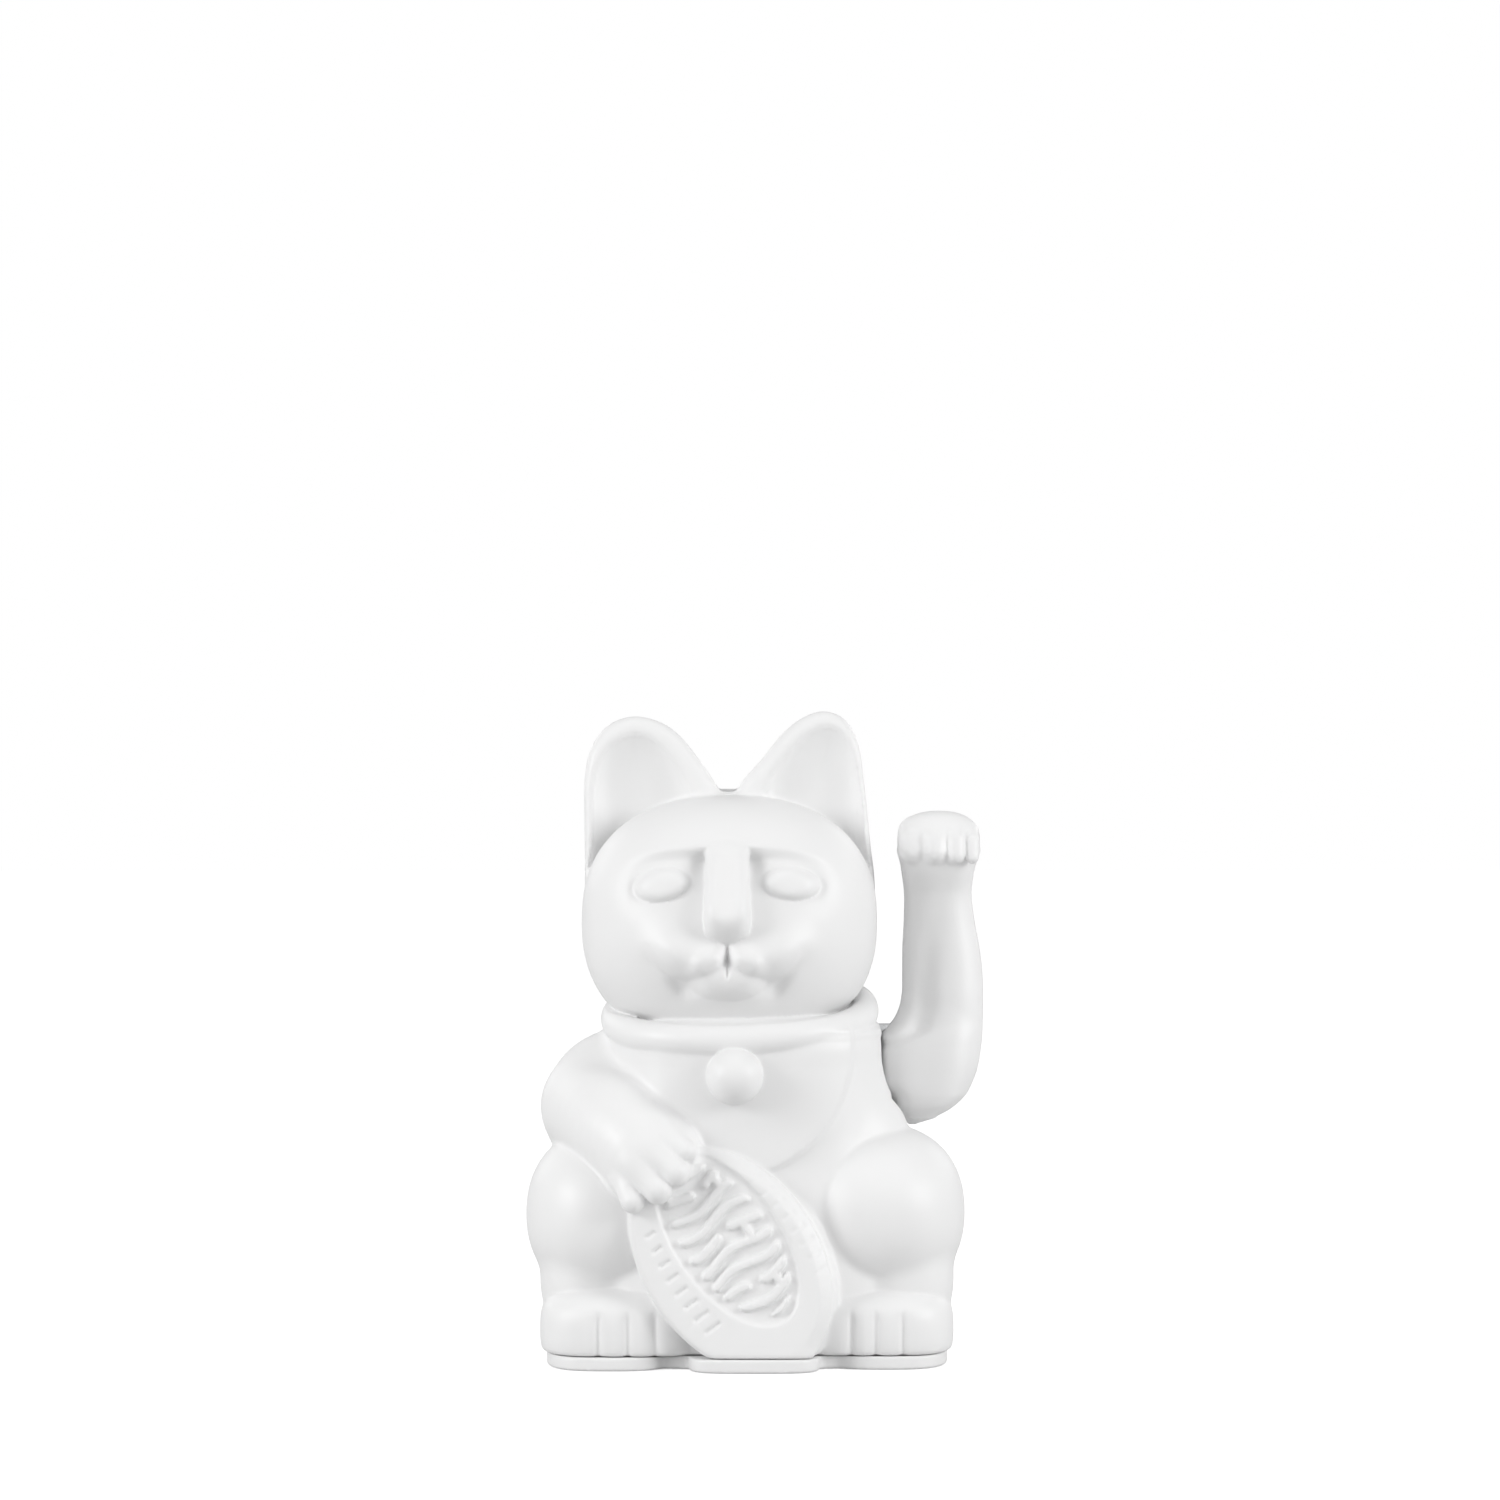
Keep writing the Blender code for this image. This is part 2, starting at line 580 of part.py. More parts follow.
def tower(grey):
    """The upright frame that carries the axle: two legs on feet, joined by a cross bar."""
    frame = None
    for side in (-1.0, 1.0):
        inner = TOWER_INNER_X * side
        outer = (TOWER_INNER_X + TOWER_THICKNESS) * side
        toe = (TOWER_SCREW_X + 3.4 * MM) * side
        low_x, high_x = sorted((inner, outer))
        leg_low = Vector((low_x, SEAM_Y - TOWER_HALF_DEPTH, CASING_BOTTOM))
        leg = box("leg", leg_low, Vector((high_x, SEAM_Y + TOWER_HALF_DEPTH, TOWER_TOP)), bevel=0.6 * MM)
        low_x, high_x = sorted((inner + side * 1.0 * MM, toe))
        foot_low = Vector((low_x, SEAM_Y - TOWER_HALF_DEPTH, CASING_BOTTOM))
        unite(leg, box("foot", foot_low, Vector((high_x, SEAM_Y + TOWER_HALF_DEPTH, 5.6 * MM))))
        frame = leg if frame is None else unite(frame, leg)
    bar_low = Vector((-TOWER_INNER_X - MM, SEAM_Y - 3.0 * MM, TOWER_TOP - 0.5 * MM))
    bar_high = Vector((TOWER_INNER_X + MM, SEAM_Y + 3.0 * MM, TOWER_TOP + 2.0 * MM))
    unite(frame, box("bar", bar_low, bar_high))
    reach = Vector((30.0 * MM, 0.0, 0.0))
    axis = Vector((0.0, SEAM_Y, AXLE_Z))
    cut(frame, rod("bearing", axis - reach, axis + reach, AXLE_RADIUS + GAP))
    for spot_x in (-TOWER_SCREW_X, TOWER_SCREW_X):
        spot = Vector((spot_x, SEAM_Y, 2.0 * MM))
        cut(frame, rod("hole", spot, spot + mm(0, 0, 8), SCREW_RADIUS + GAP, sides=12))
    frame.name = "axle_tower"
    settle(frame, grey)


def drive(steel, grey, copper, magnet_metal):
    """The pendulum, its magnet, and the coil that pushes it."""
    axis = Vector((0.0, SEAM_Y, AXLE_Z))
    axle_start = Vector((AXLE_START_X, SEAM_Y, AXLE_Z))
    axle = rod("axle", axle_start, Vector((AXLE_END_X, SEAM_Y, AXLE_Z)), AXLE_RADIUS)
    settle(axle, steel, axis)
    clip_start = Vector((-TOWER_INNER_X - TOWER_THICKNESS - 1.6 * MM, SEAM_Y, AXLE_Z))
    clip_end = clip_start + Vector((1.1 * MM, 0.0, 0.0))
    clip = rod("axle_clip", clip_start, clip_end, 3.4 * MM)
    reach = Vector((5.0 * MM, 0.0, 0.0))
    cut(clip, rod("bore", clip_start - reach, clip_end + reach, AXLE_RADIUS + GAP))
    cut(clip, box("mouth", clip_start + mm(-5, -1.1, 0), clip_start + mm(5, 1.1, 6)))
    settle(clip, steel, axis)

    half_hub = Vector((3.2 * MM, 0.0, 0.0))
    lever = rod("pendulum_lever", axis - half_hub, axis + half_hub, 4.0 * MM)
    stem_low = Vector((-1.6 * MM, SEAM_Y - 2.2 * MM, MAGNET_HIGH + GAP))
    unite(lever, box("stem", stem_low, Vector((1.6 * MM, SEAM_Y + 2.2 * MM, AXLE_Z - 2.5 * MM))))
    seat = Vector((0.0, SEAM_Y, MAGNET_HIGH + GAP))
    unite(lever, rod("cup", seat, seat + mm(0, 0, 2), MAGNET_RADIUS, end_radius=MAGNET_RADIUS * 0.7))
    cut(lever, rod("bore", axis - 2 * half_hub, axis + 2 * half_hub, AXLE_RADIUS + GAP))
    settle(lever, grey, axis)
    disc = rod("magnet", Vector((0.0, SEAM_Y, MAGNET_LOW)), Vector((0.0, SEAM_Y, MAGNET_HIGH)), MAGNET_RADIUS)
    settle(disc, magnet_metal, axis)

    foot = Vector((0.0, SEAM_Y, CASING_BOTTOM))
    cap = Vector((0.0, SEAM_Y, COIL_TOP))
    flange = mm(0.0, 0.0, 1.0)
    bobbin = rod("coil_bobbin", foot, foot + flange, COIL_RADIUS)
    unite(bobbin, rod("core", foot + 0.5 * flange, cap - 0.5 * flange, 2.4 * MM, sides=16))
    unite(bobbin, rod("flange", cap - flange, cap, COIL_RADIUS))
    settle(bobbin, grey)
    lift = Vector((0.0, 0.0, GAP))
    winding = rod("drive_coil", foot + flange + lift, cap - flange - lift, COIL_RADIUS - 0.5 * MM)
    cut(winding, rod("core", foot, cap, 2.4 * MM + GAP, sides=16))
    settle(winding, copper)


def electronics(board_green, black, blue_sleeve):
    board = box("circuit_board", BOARD_LOW, BOARD_HIGH)
    cut(board, rod("hole", BOARD_SCREW, BOARD_SCREW + mm(0, 0, 9), SCREW_RADIUS + GAP, sides=12))
    settle(board, board_green)
    top = BOARD_HIGH.z + GAP
    chip_low = Vector((-6.0 * MM, -19.0 * MM, top))
    settle(box("driver_chip", chip_low, chip_low + mm(8, 6, 1.6), bevel=0.2 * MM), black)
    foot = Vector((9.0 * MM, -11.5 * MM, top))
    settle(rod("capacitor", foot, foot + mm(0, 0, 8.5), 2.9 * MM), blue_sleeve)


def lead(name, points, sleeve):
    path = [(point, 0.55 * MM) for point in smooth_path(points, steps=4)]
    settle(limb(name, path, sides=6, ends=()), sleeve)


def leads(red, black, enamel):
    """The battery leads run round the ends of the well to the board, and the coil leads run forward to it."""
    over_board = BOARD_HIGH.z + 1.2 * MM
    positive = [mm(26.6, 23.0, 15.6), mm(24.0, 17.5, 18.4), mm(20.5, 8.0, 15.0), mm(19.0, -2.0, 11.0)]
    lead("red_lead", positive + [Vector((13.5 * MM, -8.0 * MM, over_board))], red)
    negative = [mm(-29.2, 23.0, 15.6), mm(-26.0, 17.5, 18.4), mm(-21.5, 8.0, 15.0), mm(-19.5, -2.0, 11.0)]
    lead("black_lead", negative + [Vector((-13.5 * MM, -8.0 * MM, over_board))], black)
    for number, side in ((1, -1.0), (2, 1.0)):
        end = Vector((3.8 * side * MM, -6.5 * MM, over_board))
        lead(f"coil_lead_{number}", [mm(2.2 * side, 1.8, 8.0), mm(3.2 * side, -1.5, 9.6), end], enamel)


def arm_form(inset):
    """The raised arm from its elbow to its bent paw."""
    inner_x = SEAT_X / MM + 1.0
    profile = (
        (52.8, inner_x + 0.8, 36.6, 9.6, 2.6),
        (54.0, inner_x + 0.4, 41.5, 9.5, 5.2),
        (56.5, inner_x + 0.1, 46.6, 9.2, 7.2),
        (60.0, inner_x, 50.8, 8.8, 8.6),
        (65.0, inner_x, 53.2, 8.4, 9.4),
        (71.0, inner_x, 54.5, 8.0, 9.8),
        (75.0, inner_x + 0.2, 54.9, 8.0, 9.9),
        (78.5, inner_x + 1.6, 55.0, 8.0, 9.9),
        (83.0, inner_x + 2.2, 55.0, 8.0, 9.8),
        (88.0, inner_x + 2.3, 54.9, 8.2, 9.5),
        (95.0, 36.0, 54.1, 8.4, 9.1),
        (101.0, 36.3, 53.0, 8.3, 8.5),
        (107.5, 36.3, 52.3, 7.6, 8.2),
        (113.0, 35.6, 52.9, 5.8, 9.2),
        (118.0, 35.0, 54.0, 4.4, 9.8),
    )
    lifted = 2.0 * inset if inset else 0.0
    sections = []
    for height, low_x, high_x, centre_y, radius_y in profile:
        if inset and height < 55.0:
            continue
        rise = lifted if height < 57.0 else 0.0
        centre_x = 0.5 * (low_x + high_x)
        radii = (0.5 * (high_x - low_x) * MM - inset, radius_y * MM - inset)
        sections.append((height * MM + rise, centre_x * MM, centre_y * MM, *radii))
    shrink = Vector((inset, inset, inset))
    arm = loft("arm", sections, 2.15, sides=18)
    return unite(arm, mass("paw", PAW_CENTRE, PAW_RADII - shrink, 2.6, sides=18))


def raised_arm(white):
    """The arm's front and rear shells, which grip the axle's end between their bosses."""
    axis = Vector((0.0, SEAM_Y, AXLE_Z))
    outer = arm_form(0.0)
    hollow = arm_form(ARM_WALL)
    start = Vector((30.0 * MM, SEAM_Y, AXLE_Z))
    end = Vector((60.0 * MM, SEAM_Y, AXLE_Z))
    cut(hollow, rod("boss", start, end, 3.6 * MM, sides=16))
    cut(outer, hollow)
    bore_end = Vector((AXLE_END_X + GAP, SEAM_Y, AXLE_Z))
    cut(outer, rod("bore", start, bore_end, AXLE_RADIUS + GAP))
    rear = copy_of(outer, "arm_rear_shell")
    outer.name = "arm_front_shell"
    far = 200.0 * MM
    half_gap = 0.5 * GAP
    cut(outer, box("behind", Vector((-far, SEAM_Y - half_gap, -far)), Vector((far, far, far))))
    cut(rear, box("ahead", Vector((-far, -far, -far)), Vector((far, SEAM_Y + half_gap, far))))
    settle(outer, white, axis)
    settle(rear, white, axis)


def main():
    clear_scene()
    white = plastic("white_plastic", (0.86, 0.86, 0.86), 0.42)
    grey = plastic("grey_plastic", (0.35, 0.36, 0.38), 0.5)
    black = plastic("black_plastic", (0.03, 0.03, 0.03), 0.4)
    red = plastic("red_sleeve", (0.6, 0.03, 0.03), 0.4)
    wrap = plastic("cell_wrap", (0.10, 0.13, 0.16), 0.3)
    sleeve = plastic("capacitor_sleeve", (0.05, 0.07, 0.22), 0.35)
    board_green = plastic("board_laminate", (0.04, 0.22, 0.09), 0.45)
    steel = finish("steel", (0.72, 0.73, 0.74), 0.28, 1.0)
    copper = finish("copper_wire", (0.72, 0.34, 0.16), 0.35, 1.0)
    magnet_metal = finish("nickel_plate", (0.66, 0.65, 0.62), 0.2, 1.0)
    casings(white)
    base_plate(white)
    screws(steel)
    battery_door(white)
    battery_and_contacts(wrap, steel)
    tower(grey)
    drive(steel, grey, copper, magnet_metal)
    electronics(board_green, black, sleeve)
    leads(red, black, copper)
    raised_arm(white)


main()
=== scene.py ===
"""Looks of the beckoning cat figurine.

Its white mouldings are sculpted as signed distance fields, in millimetres and in the frame's axes: +Z is up
and the cat looks along -Y. Objects and materials are in metres. The frame's other nodes keep their meshes.
"""

import math

import bpy
import numpy as np
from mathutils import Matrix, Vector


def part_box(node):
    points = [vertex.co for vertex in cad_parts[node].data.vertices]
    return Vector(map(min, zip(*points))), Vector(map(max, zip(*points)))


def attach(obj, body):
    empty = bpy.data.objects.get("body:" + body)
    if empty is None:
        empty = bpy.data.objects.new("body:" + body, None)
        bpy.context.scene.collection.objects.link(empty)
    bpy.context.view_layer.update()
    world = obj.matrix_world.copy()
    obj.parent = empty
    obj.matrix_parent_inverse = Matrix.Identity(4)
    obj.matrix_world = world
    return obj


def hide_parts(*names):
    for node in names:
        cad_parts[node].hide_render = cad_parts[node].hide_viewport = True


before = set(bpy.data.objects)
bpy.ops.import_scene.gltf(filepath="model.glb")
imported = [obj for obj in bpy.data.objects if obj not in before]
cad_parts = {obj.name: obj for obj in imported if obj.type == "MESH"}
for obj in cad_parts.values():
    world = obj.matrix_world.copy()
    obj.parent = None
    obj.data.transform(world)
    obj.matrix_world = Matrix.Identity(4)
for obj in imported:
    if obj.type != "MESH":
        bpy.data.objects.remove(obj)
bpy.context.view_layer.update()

import openvdb
from mathutils import Euler, Vector

MM = 0.001
FAR = 30.0
MARGIN = 5.0
BAND = 3.0
MOST_SHIFT = 0.45
BODY_STEP = 0.45
ARM_STEP = 0.42
PLATE_STEP = 0.4
MOST_TRIANGLES = 190000

WALL = 2.0
ARM_WALL = 1.6
GAP = 0.3
BODY_LOW = (-56, -47, -1)
BODY_HIGH = (54, 49, 153)
CASING_BOTTOM = 3.15
EDGE_ROUNDING = 0.9


def box_mm(name):
    """A frame node's box in millimetres."""
    return [np.array(corner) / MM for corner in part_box(name)]


AXLE_LOW, AXLE_HIGH = box_mm("axle")
AXLE_Y, AXLE_Z = 0.5 * (AXLE_LOW + AXLE_HIGH)[1:]
AXLE_RADIUS = 0.5 * (AXLE_HIGH - AXLE_LOW)[2]
SEAM_Y = AXLE_Y
SEAT_X = 30.4
SEAT_RADIUS = 19.5
SWEEP_X = 33.0
SWEEP_RADIUS = 23.2
ARM_CLEARANCE = 0.45
OPENING_RADIUS = 2.4
ARM_NEAR = SEAT_X + 0.4
ARM_CLEAR = SWEEP_X + 0.5

NOSE_X = -5.2
COIN_CENTRE = (-3.6, -37.4, 25.5)
COIN_BACK_Y = -20.0
COIN_HALF = (29.3, 20.6)
COIN_TURN = math.radians(54.0)
COIN_LEAN = math.tan(math.radians(6.0))


# ---------------------------------------------------------------- distance fields


def smooth_min(a, b, blend):
    if not blend:
        return np.minimum(a, b)
    share = np.clip(0.5 + 0.5 * (b - a) / blend, 0.0, 1.0)
    return b + (a - b) * share - blend * share * (1.0 - share)


def smooth_max(a, b, blend):
    return -smooth_min(-a, -b, blend)


def round_max(a, b, radius):
    """The part inside both a and b, with the edge between them rounded to a radius."""
    a = a + radius
    b = b + radius
    return np.minimum(np.maximum(a, b), 0.0) + np.hypot(np.maximum(a, 0.0), np.maximum(b, 0.0)) - radius


def rise(value, start, end):
    """0 at start and 1 at end, with a smooth ramp between."""
    share = np.clip((value - start) / (end - start), 0.0, 1.0)
    return share * share * (3.0 - 2.0 * share)


def superellipse(x, y, radius_x, radius_y, power=2.0):
    """Signed distance, near the edge, to an oval about the origin. It is squarer where power is over 2."""
    across = np.abs(x) / radius_x
    along = np.abs(y) / radius_y
    size = np.maximum(across**power + along**power, 1e-6)
    slope = np.hypot(across ** (power - 1.0) / radius_x, along ** (power - 1.0) / radius_y)
    return (size ** (1.0 / power) - 1.0) * size ** (1.0 - 1.0 / power) / np.maximum(slope, 1e-4)


class Clay:
    """A block of signed distances, negative inside the material."""

    def __init__(self, axes, step):
        self.axes = axes
        self.step = step
        self.field = np.full([len(axis) for axis in axes], FAR, np.float32)

    def places(self):
        """X, Y and Z of the cells, shaped to combine into the whole block."""
        x, y, z = self.axes
        return x[:, None, None], y[None, :, None], z[None, None, :]

    def window(self, low, high):
        """The cells between two corners, as slices, and their places."""
        cuts = []
        for axis, start, end in zip(self.axes, low, high):
            first, last = np.searchsorted(axis, (start, end))
            cuts.append(slice(max(first - 1, 0), last + 1))
        x, y, z = (axis[cut] for axis, cut in zip(self.axes, cuts))
        return tuple(cuts), x[:, None, None], y[None, :, None], z[None, None, :]

    def add(self, form, blend=0.0, grow=0.0):
        low, high, distance = form
        cuts, x, y, z = self.window(low, high)
        self.field[cuts] = smooth_min(self.field[cuts], distance(x, y, z) - grow, blend)

    def carve(self, form, blend=0.0):
        low, high, distance = form
        cuts, x, y, z = self.window(low, high)
        self.field[cuts] = smooth_max(self.field[cuts], -distance(x, y, z), blend)

    def press(self, low, high, depth):
        """Moves the surface in by depth(x, y, z) millimetres."""
        cuts, x, y, z = self.window(low, high)
        self.field[cuts] += depth(x, y, z)

    def blank(self, low, high):
        """An empty block over the same cells, for what is sculpted on its own and merged later."""
        cuts, x, y, z = self.window(low, high)
        part = Clay([x.ravel(), y.ravel(), z.ravel()], self.step)
        part.cuts = cuts
        return part

    def merge(self, part, blend=0.0, offset=0.0):
        self.field[part.cuts] = smooth_min(self.field[part.cuts], part.field + offset, blend)


def new_clay(low, high, step):
    return Clay([np.arange(a, b + step, step, dtype=np.float32) for a, b in zip(low, high)], step)


def lump(centre, radii, power=2.0, turn=0.0, roll=0.0):
    """An ellipsoid, fuller where power is over 2, rolled about Y and then turned about Z by degrees."""
    centre = np.array(centre)
    reach = np.array(radii) + MARGIN
    if turn or roll:
        reach[:] = max(reach)
    to_local = np.array(Euler((0.0, math.radians(roll), math.radians(turn))).to_matrix()).T

    def distance(x, y, z):
        place = (x - centre[0], y - centre[1], z - centre[2])
        if turn or roll:
            place = [row[0] * place[0] + row[1] * place[1] + row[2] * place[2] for row in to_local]
        shares = [np.abs(value) / radius for value, radius in zip(place, radii)]
        size = np.maximum(sum(share**power for share in shares), 1e-6)
        slope = np.sqrt(sum((share ** (power - 1.0) / radius) ** 2 for share, radius in zip(shares, radii)))
        return (size ** (1.0 / power) - 1.0) * size ** (1.0 - 1.0 / power) / np.maximum(slope, 1e-4)

    return centre - reach, centre + reach, distance


def limb(stations):
    """A round bar through (x, y, z, radius) stations."""
    stations = np.array(stations, np.float32)
    fat = stations[:, 3:] + MARGIN

    def distance(x, y, z):
        best = None
        for start, end in zip(stations, stations[1:]):
            along = (end - start)[:3]
            share = (x - start[0]) * along[0] + (y - start[1]) * along[1] + (z - start[2]) * along[2]
            share = np.clip(share / np.dot(along, along), 0.0, 1.0)
            off = [axis - start[i] - along[i] * share for i, axis in enumerate((x, y, z))]
            away = np.sqrt(off[0] ** 2 + off[1] ** 2 + off[2] ** 2) - start[3] - (end - start)[3] * share
            best = away if best is None else np.minimum(best, away)
        return best

    return (stations[:, :3] - fat).min(axis=0), (stations[:, :3] + fat).max(axis=0), distance


def smooth_path(stations, steps=6):
    """Rows on a Catmull-Rom curve through the given rows."""
    rows = np.array(stations, float)
    padded = np.vstack([2 * rows[0] - rows[1], rows, 2 * rows[-1] - rows[-2]])
    return np.vstack([catmull(padded, steps), rows[-1]])


def closed_path(points, steps=8):
    rows = np.array(points, float)
    return catmull(np.vstack([rows[-1], rows, rows[:2]]), steps)


def catmull(padded, steps):
    path = []
    for before, start, end, after in zip(padded, padded[1:], padded[2:], padded[3:]):
        for t in np.arange(steps) / steps:
            linear = (end - before) * t
            square = (2 * before - 5 * start + 4 * end - after) * t**2
            cube = (3 * start - before - 3 * end + after) * t**3
            path.append(0.5 * (2 * start + linear + square + cube))
    return np.array(path)


def hermite(heights, values, z):
    """A smooth curve through values at the given heights."""
    heights = np.array(heights, float)
    values = np.array(values, float)
    slopes = np.gradient(values, heights)
    z = np.clip(z, heights[0], heights[-1])
    i = np.clip(np.searchsorted(heights, z) - 1, 0, len(heights) - 2)
    span = heights[i + 1] - heights[i]
    t = (z - heights[i]) / span
    start = values[i] * (1 + 2 * t) * (1 - t) ** 2 + slopes[i] * span * t * (1 - t) ** 2
    end = values[i + 1] * t**2 * (3 - 2 * t) + slopes[i + 1] * span * t**2 * (t - 1)
    return (start + end).astype(np.float32)


def column(sections, power):
    """Level superellipses (z, centre x, centre y, radius x, radius y), joined by smooth curves."""
    heights, *columns = zip(*sections)
    widest = max(columns[2]) + abs(max(columns[0], key=abs)) + MARGIN
    deepest = max(columns[3]) + abs(max(columns[1], key=abs)) + MARGIN

    def distance(x, y, z):
        centre_x, centre_y, radius_x, radius_y = (hermite(heights, values, z) for values in columns)
        side = superellipse(x - centre_x, y - centre_y, radius_x, radius_y, power)
        taper = hermite(heights, columns[2], z + 0.5) - hermite(heights, columns[2], z - 0.5)
        return np.maximum(side / np.sqrt(1.0 + taper**2), np.maximum(heights[0] - z, z - heights[-1]))

    low = (-widest, -deepest, heights[0] - MARGIN)
    return low, (widest, deepest, heights[-1] + MARGIN), distance


def barrel(low_x, high_x, radius):
    """A cylinder along X about the axle."""
    reach = radius + MARGIN

    def distance(x, y, z):
        return np.maximum(np.hypot(y - AXLE_Y, z - AXLE_Z) - radius, np.maximum(low_x - x, x - high_x))

    low = (low_x - MARGIN, AXLE_Y - reach, AXLE_Z - reach)
    high = (high_x + MARGIN, AXLE_Y + reach, AXLE_Z + reach)
    return low, high, distance


def post(spot, low_z, high_z, radius):
    """An upright cylinder."""
    reach = radius + MARGIN

    def distance(x, y, z):
        return np.maximum(np.hypot(x - spot[0], y - spot[1]) - radius, np.maximum(low_z - z, z - high_z))

    low = (spot[0] - reach, spot[1] - reach, low_z - MARGIN)
    high = (spot[0] + reach, spot[1] + reach, high_z + MARGIN)
    return low, high, distance


def block(low, high, rounding=0.0):
    """A box with rounded edges."""
    middle = 0.5 * (np.array(low) + np.array(high))
    half = 0.5 * (np.array(high) - np.array(low)) - rounding

    def distance(x, y, z):
        over = [np.abs(axis - middle[i]) - half[i] for i, axis in enumerate((x, y, z))]
        inside = np.minimum(np.maximum(np.maximum(over[0], over[1]), over[2]), 0.0)
        outside = np.sqrt(sum(np.maximum(value, 0.0) ** 2 for value in over))
        return inside + outside - rounding

    return np.array(low) - MARGIN, np.array(high) + MARGIN, distance


def outline_distance(points, x, z):
    """Signed distance in the XZ plane to a closed outline, negative inside it."""
    nearest = np.full(np.broadcast(x, z).shape, np.inf)
    inside = np.zeros(nearest.shape, bool)
    for (ax, az), (bx, bz) in zip(points, np.roll(points, -1, axis=0)):
        ex, ez = bx - ax, bz - az
        share = np.clip(((x - ax) * ex + (z - az) * ez) / (ex * ex + ez * ez), 0.0, 1.0)
        nearest = np.minimum(nearest, (x - ax - ex * share) ** 2 + (z - az - ez * share) ** 2)
        if az != bz:
            inside ^= ((az > z) != (bz > z)) & (x < ax + (z - az) * ex / ez)
    return np.where(inside, -1.0, 1.0) * np.sqrt(nearest)


def mesh_of(clay, name):
    """The zero surface of a block of clay, with its points shifted by the distances that remain at them."""
    grid = openvdb.FloatGrid()
    grid.background = BAND
    grid.copyFromArray(np.clip(clay.field, -BAND, BAND))
    points, quads = grid.convertToQuads(isovalue=0.0)
    for _ in range(2):
        value, slope = sample_slope(clay.field, points)
        steep = np.maximum((slope**2).sum(axis=1), 0.2)
        shift = slope * (value / steep / clay.step)[:, None]
        points = points - np.clip(shift, -MOST_SHIFT, MOST_SHIFT)
    corner = np.array([axis[0] for axis in clay.axes])
    points = (points * clay.step + corner) * MM
    first, second, third = (points[quads[:, i]] for i in range(3))
    if np.einsum("ij,ij->i", first, np.cross(second, third)).sum() < 0.0:
        quads = quads[:, ::-1]
    mesh = bpy.data.meshes.new(name)
    mesh.from_pydata(points.tolist(), [], quads.tolist())
    mesh.shade_smooth()
    made = bpy.data.objects.new(name, mesh)
    bpy.context.scene.collection.objects.link(made)
    return made


def sample(field, points):
    """The field at points in cells, by trilinear weights."""
    top = np.array(field.shape) - 1.001
    points = np.clip(points, 0.0, top)
    cell = points.astype(int)
    part = points - cell
    total = 0.0
    for corner in np.ndindex(2, 2, 2):
        weight = np.prod(np.where(corner, part, 1.0 - part), axis=1)
        total = total + weight * field[tuple((cell + corner).T)]
    return total


def sample_slope(field, points):
    """The field at points in cells, and its slope per cell."""
    slope = np.empty((len(points), 3))
    for i, half_cell in enumerate(0.5 * np.eye(3)):
        slope[:, i] = sample(field, points + half_cell) - sample(field, points - half_cell)
    return sample(field, points), slope


# ---------------------------------------------------------------- the cat's body


def torso():
    sections = (
        (-4.0, -0.8, 4.5, 45.0, 36.9),
        (4.0, -0.8, 4.5, 46.0, 37.3),
        (10.0, -0.8, 4.5, 47.4, 38.0),
        (24.0, -0.8, 4.5, 46.0, 37.5),
        (34.0, -0.8, 4.5, 43.2, 36.0),
        (44.0, -0.8, 4.0, 38.8, 34.6),
        (52.0, -0.8, 3.0, 35.8, 33.5),
        (60.0, -0.8, 2.0, 34.0, 32.8),
        (68.0, -0.8, 1.0, 32.5, 32.0),
        (74.0, -0.8, 0.4, 32.3, 31.0),
        (76.4, -0.8, 0.2, 32.0, 29.6),
        (77.6, -0.9, 0.0, 29.4, 27.0),
        (79.0, -1.2, 0.0, 24.6, 23.6),
        (82.0, -2.0, 0.0, 17.0, 17.0),
        (86.0, -3.0, 0.0, 15.0, 15.0),
    )
    return column(sections, 2.6)


def thigh(side):
    """Side is -1 for the cat's right leg, which is at -X, and 1 for its left."""
    centre = (-31.8, -8.0, 33.5) if side < 0 else (29.7, -8.0, 34.0)
    return lump(centre, (20.2, 26.0, 20.0), 2.25)


def flank():
    """The side of the belly swells out below the raised arm."""
    return lump((26.0, -7.0, 50.0), (11.3, 15.0, 12.0))


def shin(side):
    """Fills the step between the thigh and the foot on the outer side."""
    centre = (-36.0, -8.0, 19.5) if side < 0 else (34.6, -8.0, 19.5)
    return lump(centre, (12.7, 21.0, 13.5), 2.6)


def foot(side):
    if side < 0:
        return lump((-29.0, -14.5, 8.0), (19.4, 22.0, 10.8), 3.2)
    return lump((27.6, -12.6, 8.0), (19.4, 21.7, 10.8), 3.2)


def shoulder():
    return lump((-29.4, 1.0, 57.0), (19.0, 19.0, 18.8))


def coin_arm():
    rows = (
        (-36.5, -6.0, 58.2, 12.2),
        (-31.0, -19.0, 55.0, 11.9),
        (-26.0, -26.5, 50.8, 11.2),
        (-22.6, -29.3, 47.8, 10.4),
    )
    return limb(smooth_path(rows, 4))


def toes(clay):
    """Upright grooves between the toes on the front of both feet."""
    def groove(x, y, z):
        depth = 0.0
        for middle in (-34.5, -27.8, -21.7, 23.1, 28.7, 34.8):
            off = x - middle
            one = 0.5 * np.exp(-((off / 0.6) ** 2)) + 0.6 * np.exp(-((off / 1.9) ** 2))
            depth = np.maximum(depth, one)
        return depth * rise(z, 14.6, 10.5) * rise(y, -24.0, -29.0)

    clay.press((-44, -46, -1), (44, -20, 16), groove)


def bib(clay):
    """The chest panel stands a little proud inside an oval border."""
    def depth(x, y, z):
        oval = np.hypot((x + 3.4) / 27.3, (z - 74.0) / 30.5)
        return -1.15 * rise(oval, 1.015, 0.965) * rise(y, -8.0, -14.0) * rise(x, -27.0, -20.0)

    clay.press((-36, -46, 38), (30, -6, 82), depth)


